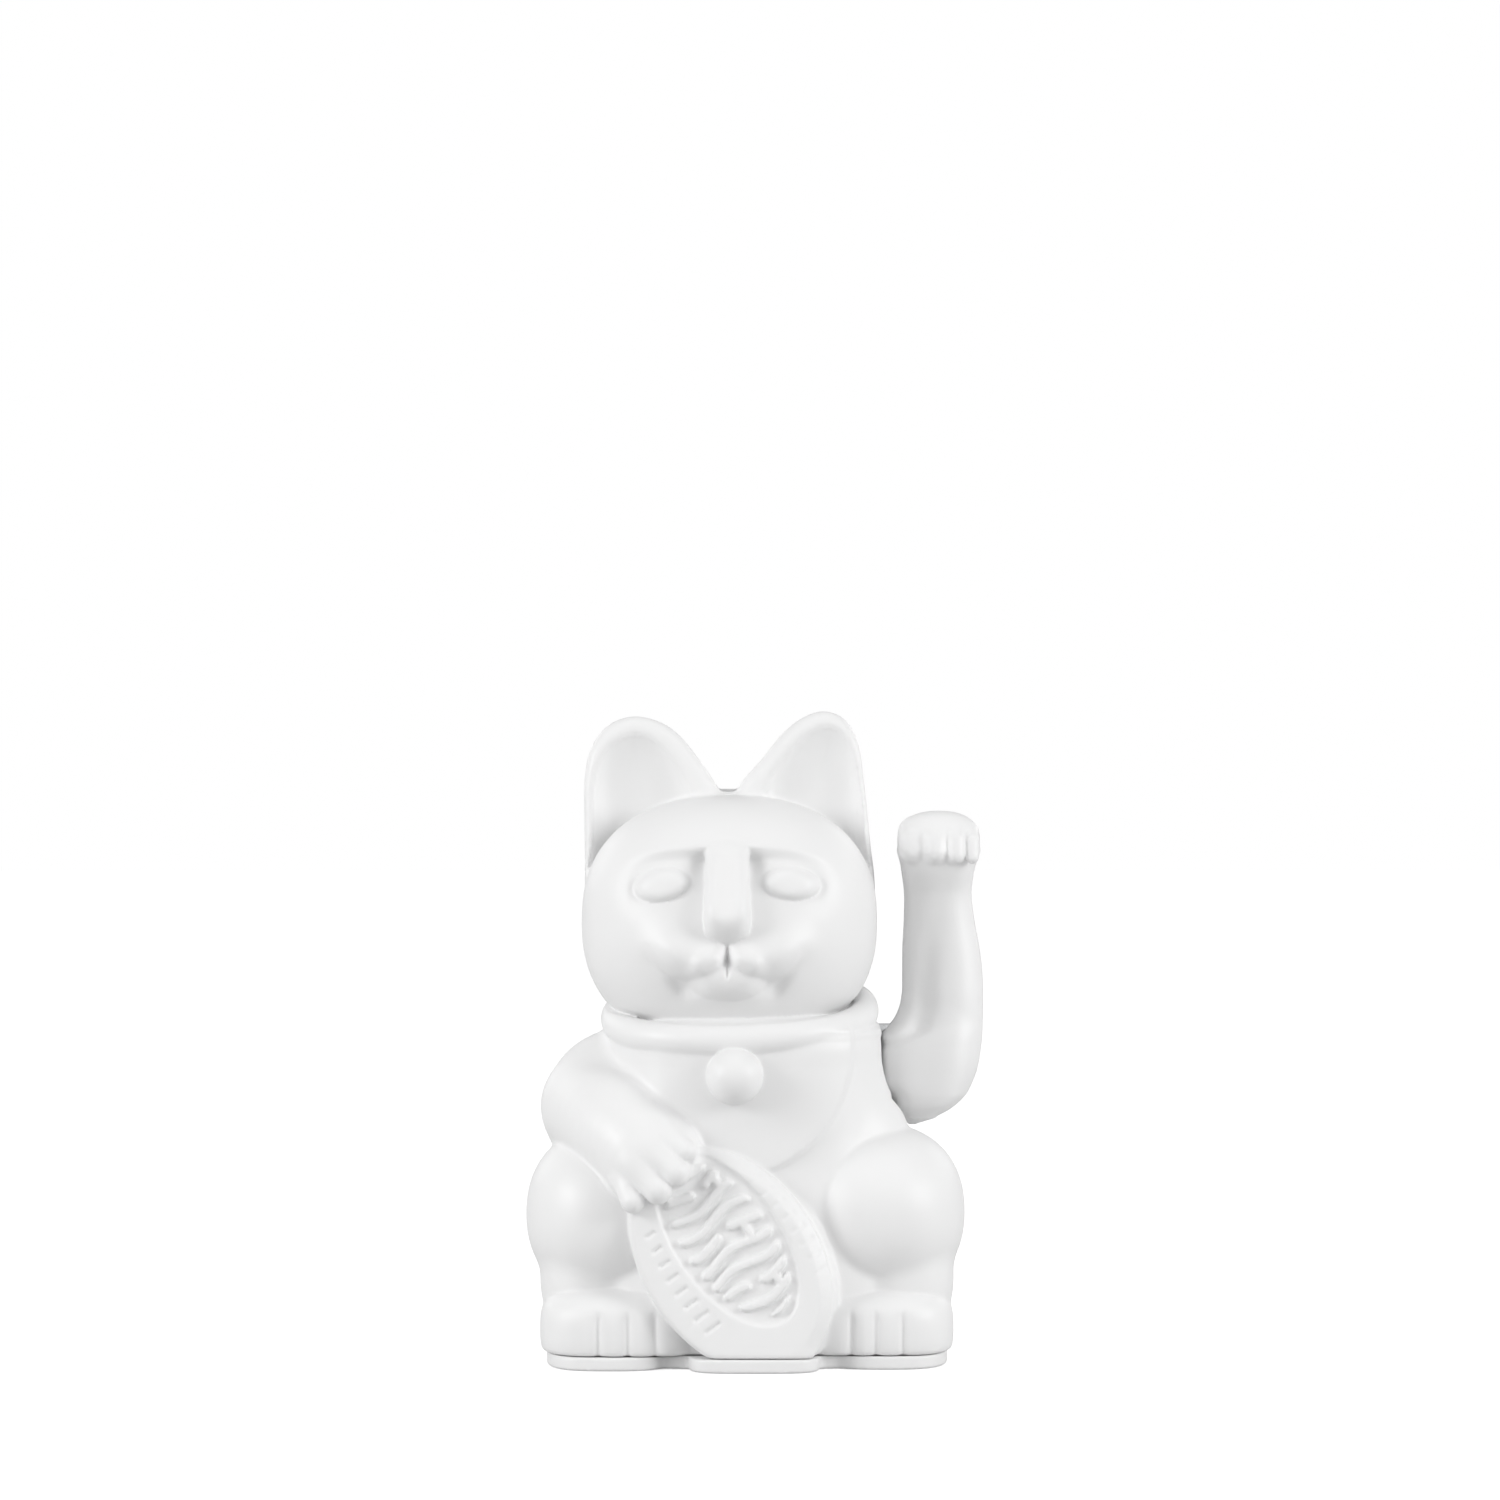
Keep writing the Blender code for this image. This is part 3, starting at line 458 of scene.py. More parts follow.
def coin_frame(x, z):
    """Places along and across the coin, from its centre. Along runs down to the right."""
    x = x - COIN_CENTRE[0]
    z = z - COIN_CENTRE[2]
    cosine, sine = math.cos(COIN_TURN), math.sin(COIN_TURN)
    return x * cosine - z * sine, x * sine + z * cosine


def coin_face(z):
    """The coin leans back as it rises."""
    return COIN_CENTRE[1] + (z - COIN_CENTRE[2]) * COIN_LEAN


def coin(body):
    """The oval coin on its own, so that its relief doesn't reach the belly behind it."""
    def distance(x, y, z):
        along, across = coin_frame(x, z)
        edge = superellipse(along, across, *COIN_HALF)
        return np.maximum(round_max(edge, coin_face(z) - y, 1.2), y - COIN_BACK_Y)

    low, high = (-34, -46, -6), (30, -14, 58)
    clay = body.blank(low, high)
    clay.add((low, high, distance))
    coin_relief(clay)
    return clay


def coin_relief(clay):
    """A sunken field with raised wavy ribs, and ticks along the rim: an abstract pattern."""
    def depth(x, y, z):
        along, across = coin_frame(x, z)
        field = superellipse(along + 4.5, across - 1.4, 22.5, 11.9)
        rim = superellipse(along, across, *COIN_HALF)
        sunk = 0.7 * rise(field, 0.4, -0.6)
        ribs = 1.15 * wavy_ribs(along, across, field + 2.1)
        ticks = 0.6 * rim_ticks(along, across) * rise(rim, -0.9, -1.6)
        chamfer = 2.4 * np.clip((rim + 4.6) / 4.6, 0.0, 1.2) * rise(across, -2.0, 6.0)
        front = rise(y, coin_face(z) + 6.0, coin_face(z) + 5.0)
        return (sunk - ribs + ticks + chamfer) * front

    clay.press((-34, -46, -6), (30, -24, 58), depth)


def wavy_ribs(along, across, room):
    """1 on ten wavy ribs within the room. Every third one is broken, and a short bar links it to the next."""
    first, pitch, half_width, half_link = -22.2, 4.15, 1.05, 0.85
    ribs = 0.0
    for number in range(10):
        line = along - (first + pitch * number + 0.9 * np.sin(across * 0.36 + number * 0.9))
        outside = room
        if number % 3 == 1:
            from_break = across - 3.0 * math.sin(2.2 * number)
            outside = np.maximum(room, 1.2 - np.abs(from_break))
            reach = np.abs(along - first - pitch * (number + 0.5)) - 2.0
            link = np.maximum(np.abs(from_break - 4.6) - half_link, reach)
            ribs = np.maximum(ribs, rise(link, 0.28, -0.28))
        rib = round_max(np.abs(line) - half_width, outside, half_width)
        ribs = np.maximum(ribs, rise(rib, 0.28, -0.28))
    return ribs


def rim_ticks(along, across):
    """1 on short ticks along the lower rim, and about a third of that on those along the upper rim."""
    first, pitch, half_width = -15.6, 3.6, 0.22
    ticks = 0.0
    for number in range(8):
        off = along - first - pitch * number
        lower = across + 13.4 - 0.1 * (number - 3.5) ** 2 + 0.12 * number
        bar = np.maximum(np.abs(off) - half_width, np.abs(lower) - 1.0 - 0.13 * number)
        ticks = np.maximum(ticks, rise(bar, 0.5, -0.2))
        upper = across - 15.8 + 0.1 * (number - 4.0) ** 2
        bar = np.maximum(np.abs(off - 4.0) - half_width, np.abs(upper) - 1.6)
        ticks = np.maximum(ticks, 0.35 * rise(bar, 0.5, -0.2))
    return ticks


def coin_paw(clay):
    """The hand, with four fingers that curl over the coin's upper edge."""
    rows = (
        ((-28.6, -34.6, 43.2), (-26.5, -38.2, 38.8), 2.8),
        ((-26.4, -35.6, 47.0), (-20.9, -38.8, 41.4), 3.3),
        ((-23.0, -35.6, 50.6), (-16.8, -38.6, 45.3), 3.3),
        ((-19.2, -34.6, 53.0), (-14.8, -37.2, 50.0), 2.7),
    )
    clay.add(lump((-22.0, -30.2, 47.4), (10.6, 8.8, 11.2), 2.2, 0.0, 40.0), 2.0)
    fingers = clay.blank((-36, -50, 30), (-6, -22, 60))
    for start, end, radius in rows:
        fingers.add(limb((start + (radius,), end + (radius,))), 0.2)
    clay.merge(fingers, 1.7)


def collar():
    """A round band about the neck with a web inside it, tilted down to the front and a little to the left."""
    tilt = math.radians(8.9)
    roll = math.tan(math.radians(1.7))
    middle = (-2.4, -1.5, 79.4)
    band_radius, half_web = 3.6, 2.2

    def distance(x, y, z):
        x = x - middle[0]
        y = y - middle[1]
        z = z - middle[2] - x * roll
        y, z = y * math.cos(tilt) + z * math.sin(tilt), z * math.cos(tilt) - y * math.sin(tilt)
        ring = superellipse(x, y, 28.9, 29.4, 2.3)
        return np.minimum(np.hypot(ring, z) - band_radius, np.maximum(ring, np.abs(z) - half_web))

    return (-42, -42, 66), (36, 40, 92), distance


def bell():
    return lump((-3.5, -33.4, 66.7), (6.4, 6.4, 6.4))


def tail():
    rows = (
        (-8.0, 35.0, 17.0, 4.6),
        (2.0, 38.0, 11.5, 5.2),
        (17.0, 36.0, 11.5, 5.4),
        (28.5, 29.5, 16.5, 4.6),
    )
    return limb(smooth_path(rows, 4))


# ---------------------------------------------------------------- the head


def on_face(y):
    """1 on the front of the head and 0 behind it."""
    return rise(y, -9.0, -15.0)


def on_muzzle(y):
    """1 on the front of the muzzle and 0 behind it."""
    return rise(y, -16.0, -22.0)


def eye_socket(side):
    """A hollow under a brow that slopes down and out, deepest beside the nose."""
    def depth(x, y, z):
        off = (x - NOSE_X) * side
        top = 7.7 - 0.06 * (off - 5.0)
        out = np.maximum(off - 11.5, 0.0) / 12.0
        up = np.maximum(z - 110.0, 0.0) / top
        inside = rise((out**2.4 + up**2.4) ** (1.0 / 2.4), 1.22, 0.74)
        floor = rise(z, 100.5, 111.0)
        deeper = 2.6 - 0.1 * np.clip(off - 5.0, 0.0, 18.0)
        pit = np.exp(-(((off - 5.6) / 2.3) ** 2) - ((z - 114.4) / 4.2) ** 2)
        return (deeper * floor + 1.7 * pit) * inside * on_face(y)

    low_x, high_x = sorted((NOSE_X, NOSE_X + side * 30.0))
    return (low_x, -46, 98), (high_x, -6, 130), depth


def eye(centre_x, centre_z, half_x, half_z, roll):
    """A plain almond dome that stands out most under the brow, with a faint line about it."""
    slant = math.tan(math.radians(roll))

    def dome(x, y, z):
        across = (x - centre_x) / half_x
        up = (z - centre_z - (x - centre_x) * slant) / half_z
        size = across**2 + up**2
        height = (2.4 + 0.3 * up) * np.clip(1.0 - size**2.2, 0.0, 1.0)
        return (0.2 * rise(np.sqrt(size), 1.25, 1.0) - height) * on_face(y)

    return (centre_x - 11.0, -46, centre_z - 9.0), (centre_x + 11.0, -6, centre_z + 9.0), dome


NOSE_HALF_WIDTHS = (
    (92.0, 4.6), (99.0, 5.0), (102.0, 5.3), (106.0, 5.2), (111.0, 5.0), (117.0, 5.2), (121.0, 6.2),
)
NOSE_PROFILE = (
    (92.0, -30.6), (96.0, -33.4), (98.5, -36.3), (100.5, -38.0), (102.5, -38.8), (105.0, -38.3),
    (108.0, -36.7), (112.0, -34.4), (116.0, -31.9), (119.0, -29.8), (122.0, -25.5), (126.0, -18.0),
)


def nose_bridge():
    """A straight-sided bridge that widens to the nose, whose underside slopes back to a V above the lip."""
    def distance(x, y, z):
        off = np.abs(x - NOSE_X)
        half = hermite(*zip(*NOSE_HALF_WIDTHS), z)
        front = hermite(*zip(*NOSE_PROFILE), z)
        ridge = 0.5 * np.cos(off * 0.8) * rise(z, 118.0, 112.0) * rise(z, 102.0, 106.0)
        wall = off - half
        face = front + 0.045 * off**2 + ridge - y
        under = (96.6 + 0.42 * off + 0.3 * (-34.0 - y) - z) / 1.13
        return smooth_max(smooth_max(wall, face, 3.2), under, 1.0)

    return (NOSE_X - 14, -46, 88), (NOSE_X + 14, -12, 126), distance


def muzzle(clay):
    """The hollows beside the mouth, the lower lip, the two pads, and the parting between them."""
    clay.press((NOSE_X - 22, -48, 76), (NOSE_X + 22, -12, 98), cheek_folds)
    clay.press((NOSE_X - 12, -48, 80), (NOSE_X + 12, -12, 96), lower_lip)
    pads = clay.blank((-34, -48, 76), (24, -8, 108))
    for side in (-1.0, 1.0):
        outer = ((NOSE_X + side * 9.4, -25.8, 94.4), (9.0, 9.6, 6.4), 2.0, side * 8.0, side * -16.0)
        inner = ((NOSE_X + side * 5.0, -27.2, 92.8), (5.8, 10.2, 4.6), 2.0, 0.0, side * 12.0)
        pads.add(lump(*outer), 1.2)
        pads.add(lump(*inner), 1.4)
    crisp = smooth_min(clay.field[pads.cuts], pads.field, 0.9)
    soft = smooth_min(clay.field[pads.cuts], pads.field, 5.0)
    clay.field[pads.cuts] = soft + (crisp - soft) * rise(pads.places()[2], 98.0, 91.0)
    clay.press((NOSE_X - 12, -48, 84), (NOSE_X + 12, -12, 100), dimples)
    clay.press((NOSE_X - 4, -48, 86), (NOSE_X + 4, -24, 100), parting)


def cheek_folds(x, y, z):
    off = np.abs(x - NOSE_X - 0.4)
    crease = np.abs((z - 88.0) - 1.05 * (off - 11.4)) * 0.69
    line = np.exp(-((crease / 1.6) ** 2)) * rise(off, 8.6, 12.4) * rise(off, 17.5, 12.4)
    hollow = np.exp(-(((off - 9.4) / 3.4) ** 2) - ((z - 86.9) / 2.7) ** 2)
    return (0.8 * line + 1.6 * hollow) * on_muzzle(y)


def lower_lip(x, y, z):
    size = ((x - NOSE_X) / 9.0) ** 2 + ((z - 88.2) / 4.5) ** 2
    return -3.2 * np.clip(1.0 - size**1.6, 0.0, 1.0) * on_muzzle(y)


def dimples(x, y, z):
    off = np.abs(x - NOSE_X)
    return 0.8 * np.exp(-((off - 4.5) ** 2 + (z - 92.3) ** 2) / 3.6) * on_muzzle(y)


def parting(x, y, z):
    line = np.exp(-(((x - NOSE_X) / 0.42) ** 2))
    return 0.9 * line * rise(z, 88.4, 90.0) * rise(z, 98.0, 96.8) * rise(y, -26, -29)


def head(body):
    """The head on its own, so that the face's hollows don't reach the rest of the cat."""
    clay = body.blank((-46, -48, 64), (36, 34, 136))
    clay.add(lump((-4.8, -3.0, 101.0), (34.5, 30.5, 29.4), 2.35))
    for side in (-1.0, 1.0):
        clay.press(*eye_socket(side))
    muzzle(clay)
    clay.add(nose_bridge(), 0.3)
    clay.press(*eye(-20.3, 110.2, 6.3, 3.9, 7.0))
    clay.press(*eye(9.6, 110.5, 6.6, 3.75, -4.0))
    return clay


EAR_MIDDLE_Y = SEAM_Y - 1.0
EAR_LEFT = (
    (-35.0, 96), (-37.6, 103), (-38.6, 111), (-38.9, 124), (-38.9, 134), (-37.4, 141.5), (-33.4, 146.8),
    (-27.4, 148.9), (-21.0, 147.5), (-16.2, 144.0), (-11.8, 138.4), (-7.6, 132.2), (-3.0, 124.0), (-3.0, 108),
)
EAR_RIGHT = (
    (25.6, 96), (28.2, 103), (28.9, 111), (28.0, 122), (27.0, 132), (25.6, 142.0), (22.6, 147.9),
    (17.8, 150.1), (12.6, 148.7), (7.4, 144.6), (2.6, 138.6), (-2.2, 133.0), (-6.6, 124.0), (-6.6, 108),
)
CUP_LEFT = (
    (-36.6, 104), (-36.5, 122), (-36.4, 133), (-34.2, 139.8), (-29.6, 143.8), (-25.2, 144.2),
    (-21.0, 141.6), (-17.2, 136.8), (-14.2, 131.0), (-10.5, 123.0), (-8.0, 104),
)
CUP_RIGHT = (
    (27.2, 104), (26.9, 120), (26.0, 131), (24.2, 140.2), (21.2, 145.0), (17.4, 146.0),
    (12.6, 143.6), (7.8, 138.4), (4.6, 133.4), (1.6, 126.0), (-1.0, 104),
)


def ear_half(z):
    """Half of an ear's thickness, which falls off towards its tip."""
    return 7.2 - 4.2 * (np.clip(z - 110.0, 0.0, 40.0) / 40.0) ** 2


def ear(body, outline, cup):
    """An ear with a rounded rim about a cup that opens forward."""
    outline = closed_path(outline)
    cup = closed_path(cup)
    low = (outline[:, 0].min() - MARGIN, -12, 96)
    high = (outline[:, 0].max() + MARGIN, 26, 156)

    def solid(x, y, z):
        edge = outline_distance(outline, x, z)
        return round_max(edge, np.abs(y - EAR_MIDDLE_Y) - ear_half(z), 2.6)

    def hollow(x, y, z):
        edge = outline_distance(cup, x, z)
        inward = np.clip(-edge / 9.0, 0.0, 1.0)
        bowl = (ear_half(z) - 1.3) * np.sqrt(np.maximum(1.0 - (1.0 - inward) ** 2, 0.0))
        return np.maximum(edge, (y - (EAR_MIDDLE_Y - ear_half(z)) - bowl) * 0.75)

    clay = body.blank(low, high)
    clay.add((low, high, solid))
    clay.carve((low, high, hollow), 1.8)
    return clay


# ---------------------------------------------------------------- the casings


BOSS_SPOTS = [0.5 * sum(box_mm(f"base_screw_{number}")) for number in (1, 2, 3, 4)]
BOSS_TOP = 22.0
BOSS_RADIUS = 3.6
HALF_RIB = 0.9
SCREW_HOLE = 1.5


def seats(inset):
    """The round seat that the arm turns against, and the wider clearance for the rest of the arm."""
    end = SEAT_X + 30.0
    return [
        barrel(SEAT_X - inset, end, SEAT_RADIUS + inset),
        barrel(SWEEP_X - inset, end, SWEEP_RADIUS + inset),
    ]


def body_masses():
    """The big forms below the neck, each with the blend that joins it to those before it."""
    return (
        (torso(), 0.0),
        (shoulder(), 3.0),
        (coin_arm(), 2.5),
        (flank(), 3.0),
        (thigh(-1), 1.0),
        (thigh(1), 1.0),
        (shin(-1), 1.5),
        (shin(1), 1.5),
        (foot(-1), 0.6),
        (foot(1), 0.6),
    )


def add_ears(outer):
    """Joins the ears crisply in front and softly behind, low down where they meet the head."""
    for outline, cup in ((EAR_LEFT, CUP_LEFT), (EAR_RIGHT, CUP_RIGHT)):
        lobe = ear(outer, outline, cup)
        y, z = lobe.places()[1:]
        crisp = smooth_min(outer.field[lobe.cuts], lobe.field, 1.5)
        soft = smooth_min(outer.field[lobe.cuts], lobe.field, 6.0)
        outer.field[lobe.cuts] = crisp + (soft - crisp) * rise(y, 4.0, 12.0) * rise(z, 127.0, 119.0)
    outer.add(block((-15.0, SEAM_Y - 5.0, 118.0), (5.0, SEAM_Y + 0.1, 131.2), 0.7), 0.8)
    outer.add(block((-15.0, SEAM_Y + 0.2, 118.0), (5.0, SEAM_Y + 6.0, 131.8), 0.7), 0.4)


def neck_groove(outer, face):
    """A fine groove where the head sinks into the collar."""
    band = collar()[2](*face.places())
    outer.field[face.cuts] += 0.45 * np.exp(-(band**2 + face.field**2) / 0.45)


def body_clay():
    """The cat's outer form and, as a second block, the hollow inside it."""
    outer = new_clay(BODY_LOW, BODY_HIGH, BODY_STEP)
    hollow = new_clay(BODY_LOW, BODY_HIGH, BODY_STEP)
    masses = body_masses()
    for form, _ in masses:
        hollow.add(form, 0.0, -WALL)
    outer.add(torso())
    bib(outer)
    for form, blend in masses[1:]:
        outer.add(form, blend)
    toes(outer)
    outer.add(tail(), 2.0)
    outer.merge(coin(outer), 0.5)
    coin_paw(outer)
    outer.add(collar(), 0.5)
    face = head(outer)
    outer.merge(face, 0.6)
    neck_groove(outer, face)
    hollow.merge(face, 0.0, WALL)
    add_ears(outer)
    outer.add(bell(), 0.4)
    for form in seats(0.0):
        outer.carve(form, 0.5)
    for form in seats(WALL):
        hollow.carve(form)
    for spot in BOSS_SPOTS:
        screw_boss(hollow, spot)
    z = outer.places()[2]
    outer.field = round_max(outer.field, CASING_BOTTOM - z, EDGE_ROUNDING)
    return outer, hollow


def screw_boss(hollow, spot):
    """Keeps a boss and the rib that ties it to the side wall out of the hollow."""
    foot_z = CASING_BOTTOM - 5.0
    hollow.carve(post(spot, foot_z, BOSS_TOP, BOSS_RADIUS))
    low_x, high_x = sorted((spot[0], spot[0] + math.copysign(16.0, spot[0])))
    low = (low_x, spot[1] - HALF_RIB, foot_z)
    high = (high_x, spot[1] + HALF_RIB, BOSS_TOP - 2.0)
    hollow.carve(block(low, high))


def half_of(shell, side, rounding):
    """The part ahead of the seam for side 1, or behind it for side -1, less half of the gap."""
    half = Clay(shell.axes, shell.step)
    y = shell.places()[1]
    half.field = round_max(shell.field, side * (y - SEAM_Y) + 0.5 * GAP, rounding)
    return half


def casings(white):
    outer, hollow = body_clay()
    shell = Clay(outer.axes, BODY_STEP)
    shell.field = np.maximum(outer.field, -hollow.field)
    for spot in BOSS_SPOTS:
        shell.carve(post(spot, -2.0, BOSS_TOP - 4.0, SCREW_HOLE))
    shell.carve(barrel(SEAT_X - 8.0, SEAT_X + 8.0, OPENING_RADIUS))
    for name, node, side in (("cat_front", "front_casing", 1.0), ("cat_rear", "rear_casing", -1.0)):
        piece = mesh_of(half_of(shell, side, 0.25), name)
        thin_inside(piece, outer, hollow)
        finish(piece, node, "casing", white)


def thin_inside(piece, outer, hollow):
    """Makes the faces coarser on the inside of a casing, where nothing shows."""
    count = len(piece.data.vertices)
    points = np.empty(count * 3, np.float32)
    piece.data.vertices.foreach_get("co", points)
    corner = np.array([axis[0] for axis in outer.axes])
    cells = (points.reshape(-1, 3) / MM - corner) / outer.step
    inner = np.abs(sample(hollow.field, cells)) + 0.9 < np.abs(sample(outer.field, cells))
    group = piece.vertex_groups.new(name="inside")
    group.add(np.flatnonzero(inner).tolist(), 1.0, "REPLACE")
    thin = piece.modifiers.new("thin", "DECIMATE")
    thin.vertex_group = group.name
    thin.vertex_group_factor = 1.0
    thin.ratio = 1.0 - 0.88 * inner.mean()
    apply_modifiers(piece)


def limit_faces(piece):
    triangles = sum(len(face.vertices) - 2 for face in piece.data.polygons)
    if triangles > MOST_TRIANGLES:
        piece.modifiers.new("limit", "DECIMATE").ratio = MOST_TRIANGLES / triangles
        apply_modifiers(piece)


def apply_modifiers(piece):
    graph = bpy.context.evaluated_depsgraph_get()
    mesh = bpy.data.meshes.new_from_object(piece.evaluated_get(graph))
    piece.modifiers.clear()
    piece.data = mesh
    piece.vertex_groups.clear()


def finish(piece, node, body, material):
    limit_faces(piece)
    piece.data.name = piece.name
    piece.data.materials.clear()
    piece.data.materials.append(material)
    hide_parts(node)
    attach(piece, body)


# ---------------------------------------------------------------- the raised arm


def arm_form():
    """The arm from its rounded lower end to the wrist, as (z, low x, high x, centre y, radius y)."""
    profile = (
        (52.6, ARM_CLEAR + 4.0, ARM_CLEAR + 5.6, 9.6, 1.8),
        (54.0, ARM_CLEAR + 2.8, 42.5, 9.5, 5.4),
        (56.5, ARM_CLEAR + 1.2, 47.2, 9.2, 7.4),
        (59.2, ARM_CLEAR + 0.1, 50.4, 8.9, 8.5),
        (61.0, ARM_NEAR + 1.2, 51.6, 8.7, 8.9),
        (64.0, ARM_NEAR + 0.1, 53.0, 8.4, 9.4),
        (71.0, ARM_NEAR, 54.5, 8.0, 9.8),
        (74.0, ARM_NEAR + 0.6, 54.8, 8.0, 9.9),
        (76.5, ARM_NEAR + 3.0, 54.9, 8.0, 9.9),
        (79.0, ARM_NEAR + 4.3, 55.0, 8.0, 9.9),
        (83.0, ARM_NEAR + 5.0, 55.0, 8.0, 9.8),
        (88.0, ARM_NEAR + 5.1, 54.9, 8.2, 9.5),
        (95.0, 36.0, 54.1, 8.4, 9.1),
        (101.0, 36.3, 53.0, 8.3, 8.5),
        (107.5, 36.3, 52.3, 7.6, 8.2),
        (113.0, 35.6, 52.9, 5.8, 9.0),
        (117.0, 35.2, 53.6, 4.8, 9.0),
    )
    return column(sections_of(profile), 2.5)


def elbow():
    """The broad, squarer lower end, which lies close along the flank. Its rows are like the arm's."""
    profile = (
        (55.0, ARM_CLEAR + 2.6, 43.0, 8.0, 6.0),
        (57.0, ARM_CLEAR + 1.0, 46.4, 7.4, 9.0),
        (59.5, ARM_CLEAR + 0.1, 49.0, 7.0, 10.4),
        (62.0, ARM_NEAR + 0.6, 50.4, 6.8, 10.9),
        (65.0, ARM_NEAR, 51.6, 6.6, 11.0),
        (71.0, ARM_NEAR, 52.6, 6.6, 10.8),
        (74.5, ARM_NEAR + 1.0, 52.8, 7.0, 10.4),
        (77.0, ARM_NEAR + 3.6, 51.6, 7.6, 9.4),
        (80.0, ARM_NEAR + 5.6, 49.6, 8.0, 8.2),
        (84.0, ARM_NEAR + 8.0, 46.0, 8.2, 6.0),
    )
    return column(sections_of(profile), 3.4)


def sections_of(profile):
    """Centres and radii for column, from the arm's rows."""
    sections = []
    for height, low_x, high_x, centre_y, radius_y in profile:
        sections.append((height, 0.5 * (low_x + high_x), centre_y, 0.5 * (high_x - low_x), radius_y))
    return sections


def paw(clay):
    """The bent paw: a palm and four fingers that overhang the wrist."""
    clay.add(lump((44.4, 4.6, 119.6), (9.7, 9.0, 7.1), 2.4), 2.0)
    fingers = clay.blank((30, -14, 108), (60, 14, 130))
    edges = (34.8, 40.7, 46.1, 50.3, 53.5)
    for low, high, overhang in zip(edges, edges[1:], (4.9, 6.4, 6.4, 5.6)):
        middle = 0.5 * (low + high)
        radius = 0.5 * (high - low) + 0.1
        front = radius - overhang
        rows = (
            (middle, front + 5.6, 122.4, radius * 0.8),
            (middle, front + 0.9, 119.8, radius),
            (middle, front, 114.3 + radius, radius * 0.94),
        )
        fingers.add(limb(rows), 0.1)
    clay.merge(fingers, 1.3)


VALLEY_LINE = (
    (70.0, 28.0), (72.6, 33.9), (74.4, 37.6), (78.5, 40.1),
    (86.7, 40.9), (94.8, 41.5), (103.0, 42.1), (112.0, 42.4),
)


def valley(x, y, z):
    """A shallow hollow that runs up the front of the arm from its seat and fades towards the wrist."""
    across = np.exp(-(((x - hermite(*zip(*VALLEY_LINE), z)) / 2.7) ** 2))
    return 1.3 * across * rise(z, 108.0, 84.0) * rise(z, 69.0, 76.0) * rise(y, 7.0, 3.0)


def clear_of_seat(clay):
    """Trims the arm to a flat face over the shoulder's seat and to a second one beyond the seat's rim."""
    x, y, z = clay.places()
    beyond_rim = np.hypot(y - AXLE_Y, z - AXLE_Z) - SEAT_RADIUS + ARM_CLEARANCE
    taken = np.minimum(SWEEP_X + ARM_CLEARANCE - x, beyond_rim)
    taken = np.maximum(taken, SEAT_X + ARM_CLEARANCE - x)
    clay.field = smooth_max(clay.field, taken, 0.4)


def raised_arm(white):
    clay = new_clay((30, -12, 49), (58, 22, 130), ARM_STEP)
    clay.add(arm_form())
    clay.add(elbow(), 2.5)
    clay.press((30, -12, 66), (58, 12, 112), valley)
    paw(clay)
    clear_of_seat(clay)
    inside = Clay(clay.axes, ARM_STEP)
    inside.field = clay.field + ARM_WALL
    inside.carve(barrel(SEAT_X, SEAT_X + 30.0, BOSS_RADIUS))
    clay.field = np.maximum(clay.field, -inside.field)
    clay.carve(barrel(SEAT_X, AXLE_HIGH[0] + GAP, AXLE_RADIUS + GAP))
    for name, side in (("arm_front", 1.0), ("arm_rear", -1.0)):
        piece = mesh_of(half_of(clay, side, 0.2), name)
        finish(piece, f"{name}_shell", "swing_arm", white)


# ---------------------------------------------------------------- the base plate


PLATE_TOP = 3.0
WELL_LOW = (-30.7, 15.4, 2.2)
WELL_HIGH = (28.3, 30.6, 20.0)
DOOR_GAP = np.array((0.4, 0.4, 3.0))
# Centre x, centre y, radius x, radius y and power of the plate's body, its two foot lobes and its front lobe.
PLATE_OUTLINES = (
    (-0.4, 4.5, 46.2, 37.4, 2.6),
    (-31.9, -14.0, 15.0, 22.3, 3.0),
    (30.6, -12.0, 15.0, 21.4, 3.0),
    (1.0, -28.0, 15.0, 12.6, 4.0),
)


def base_plate(white):
    """The plate with its battery well, pads for the tower, and openings for the door and the screws."""
    clay = new_clay((-49, -44, -2), (48, 45, 17), PLATE_STEP)
    x, y, z = clay.places()
    edge = FAR
    for centre_x, centre_y, *shape in PLATE_OUTLINES:
        edge = smooth_min(edge, superellipse(x - centre_x, y - centre_y, *shape), 1.5)
    level = np.abs(z - 0.5 * PLATE_TOP) - 0.5 * PLATE_TOP
    clay.field = round_max(edge, level, 0.3).astype(np.float32)
    clay.add(block((WELL_LOW[0] - 1.2, WELL_LOW[1] - 1.2, WELL_LOW[2]), (29.5, 31.8, 14.0), 0.2))
    for pad_x in (-12.5, 12.5):
        for pad_y in (-22.0, -7.0):
            clay.add(post((pad_x, pad_y), 1.0, 5.0, 2.6))
    clay.carve(block(WELL_LOW, WELL_HIGH))
    door_low, door_high = box_mm("battery_door")
    clay.carve(block(door_low - DOOR_GAP, door_high + DOOR_GAP))
    for spot in BOSS_SPOTS:
        clay.carve(post(spot, -3.0, 6.0, SCREW_HOLE))
        clay.carve(post(spot, -3.0, 1.8, 2.8))
    for node in ("tower_screw_1", "tower_screw_2", "board_screw"):
        clay.carve(post(0.5 * sum(box_mm(node)), 1.2, 9.0, SCREW_HOLE))
    piece = mesh_of(clay, "base")
    finish(piece, "base_plate", "casing", white)


# ---------------------------------------------------------------- materials


def nodes_of(name):
    material = bpy.data.materials.new(name)
    material.use_nodes = True
    tree = material.node_tree
    return material, tree, tree.nodes["Principled BSDF"]


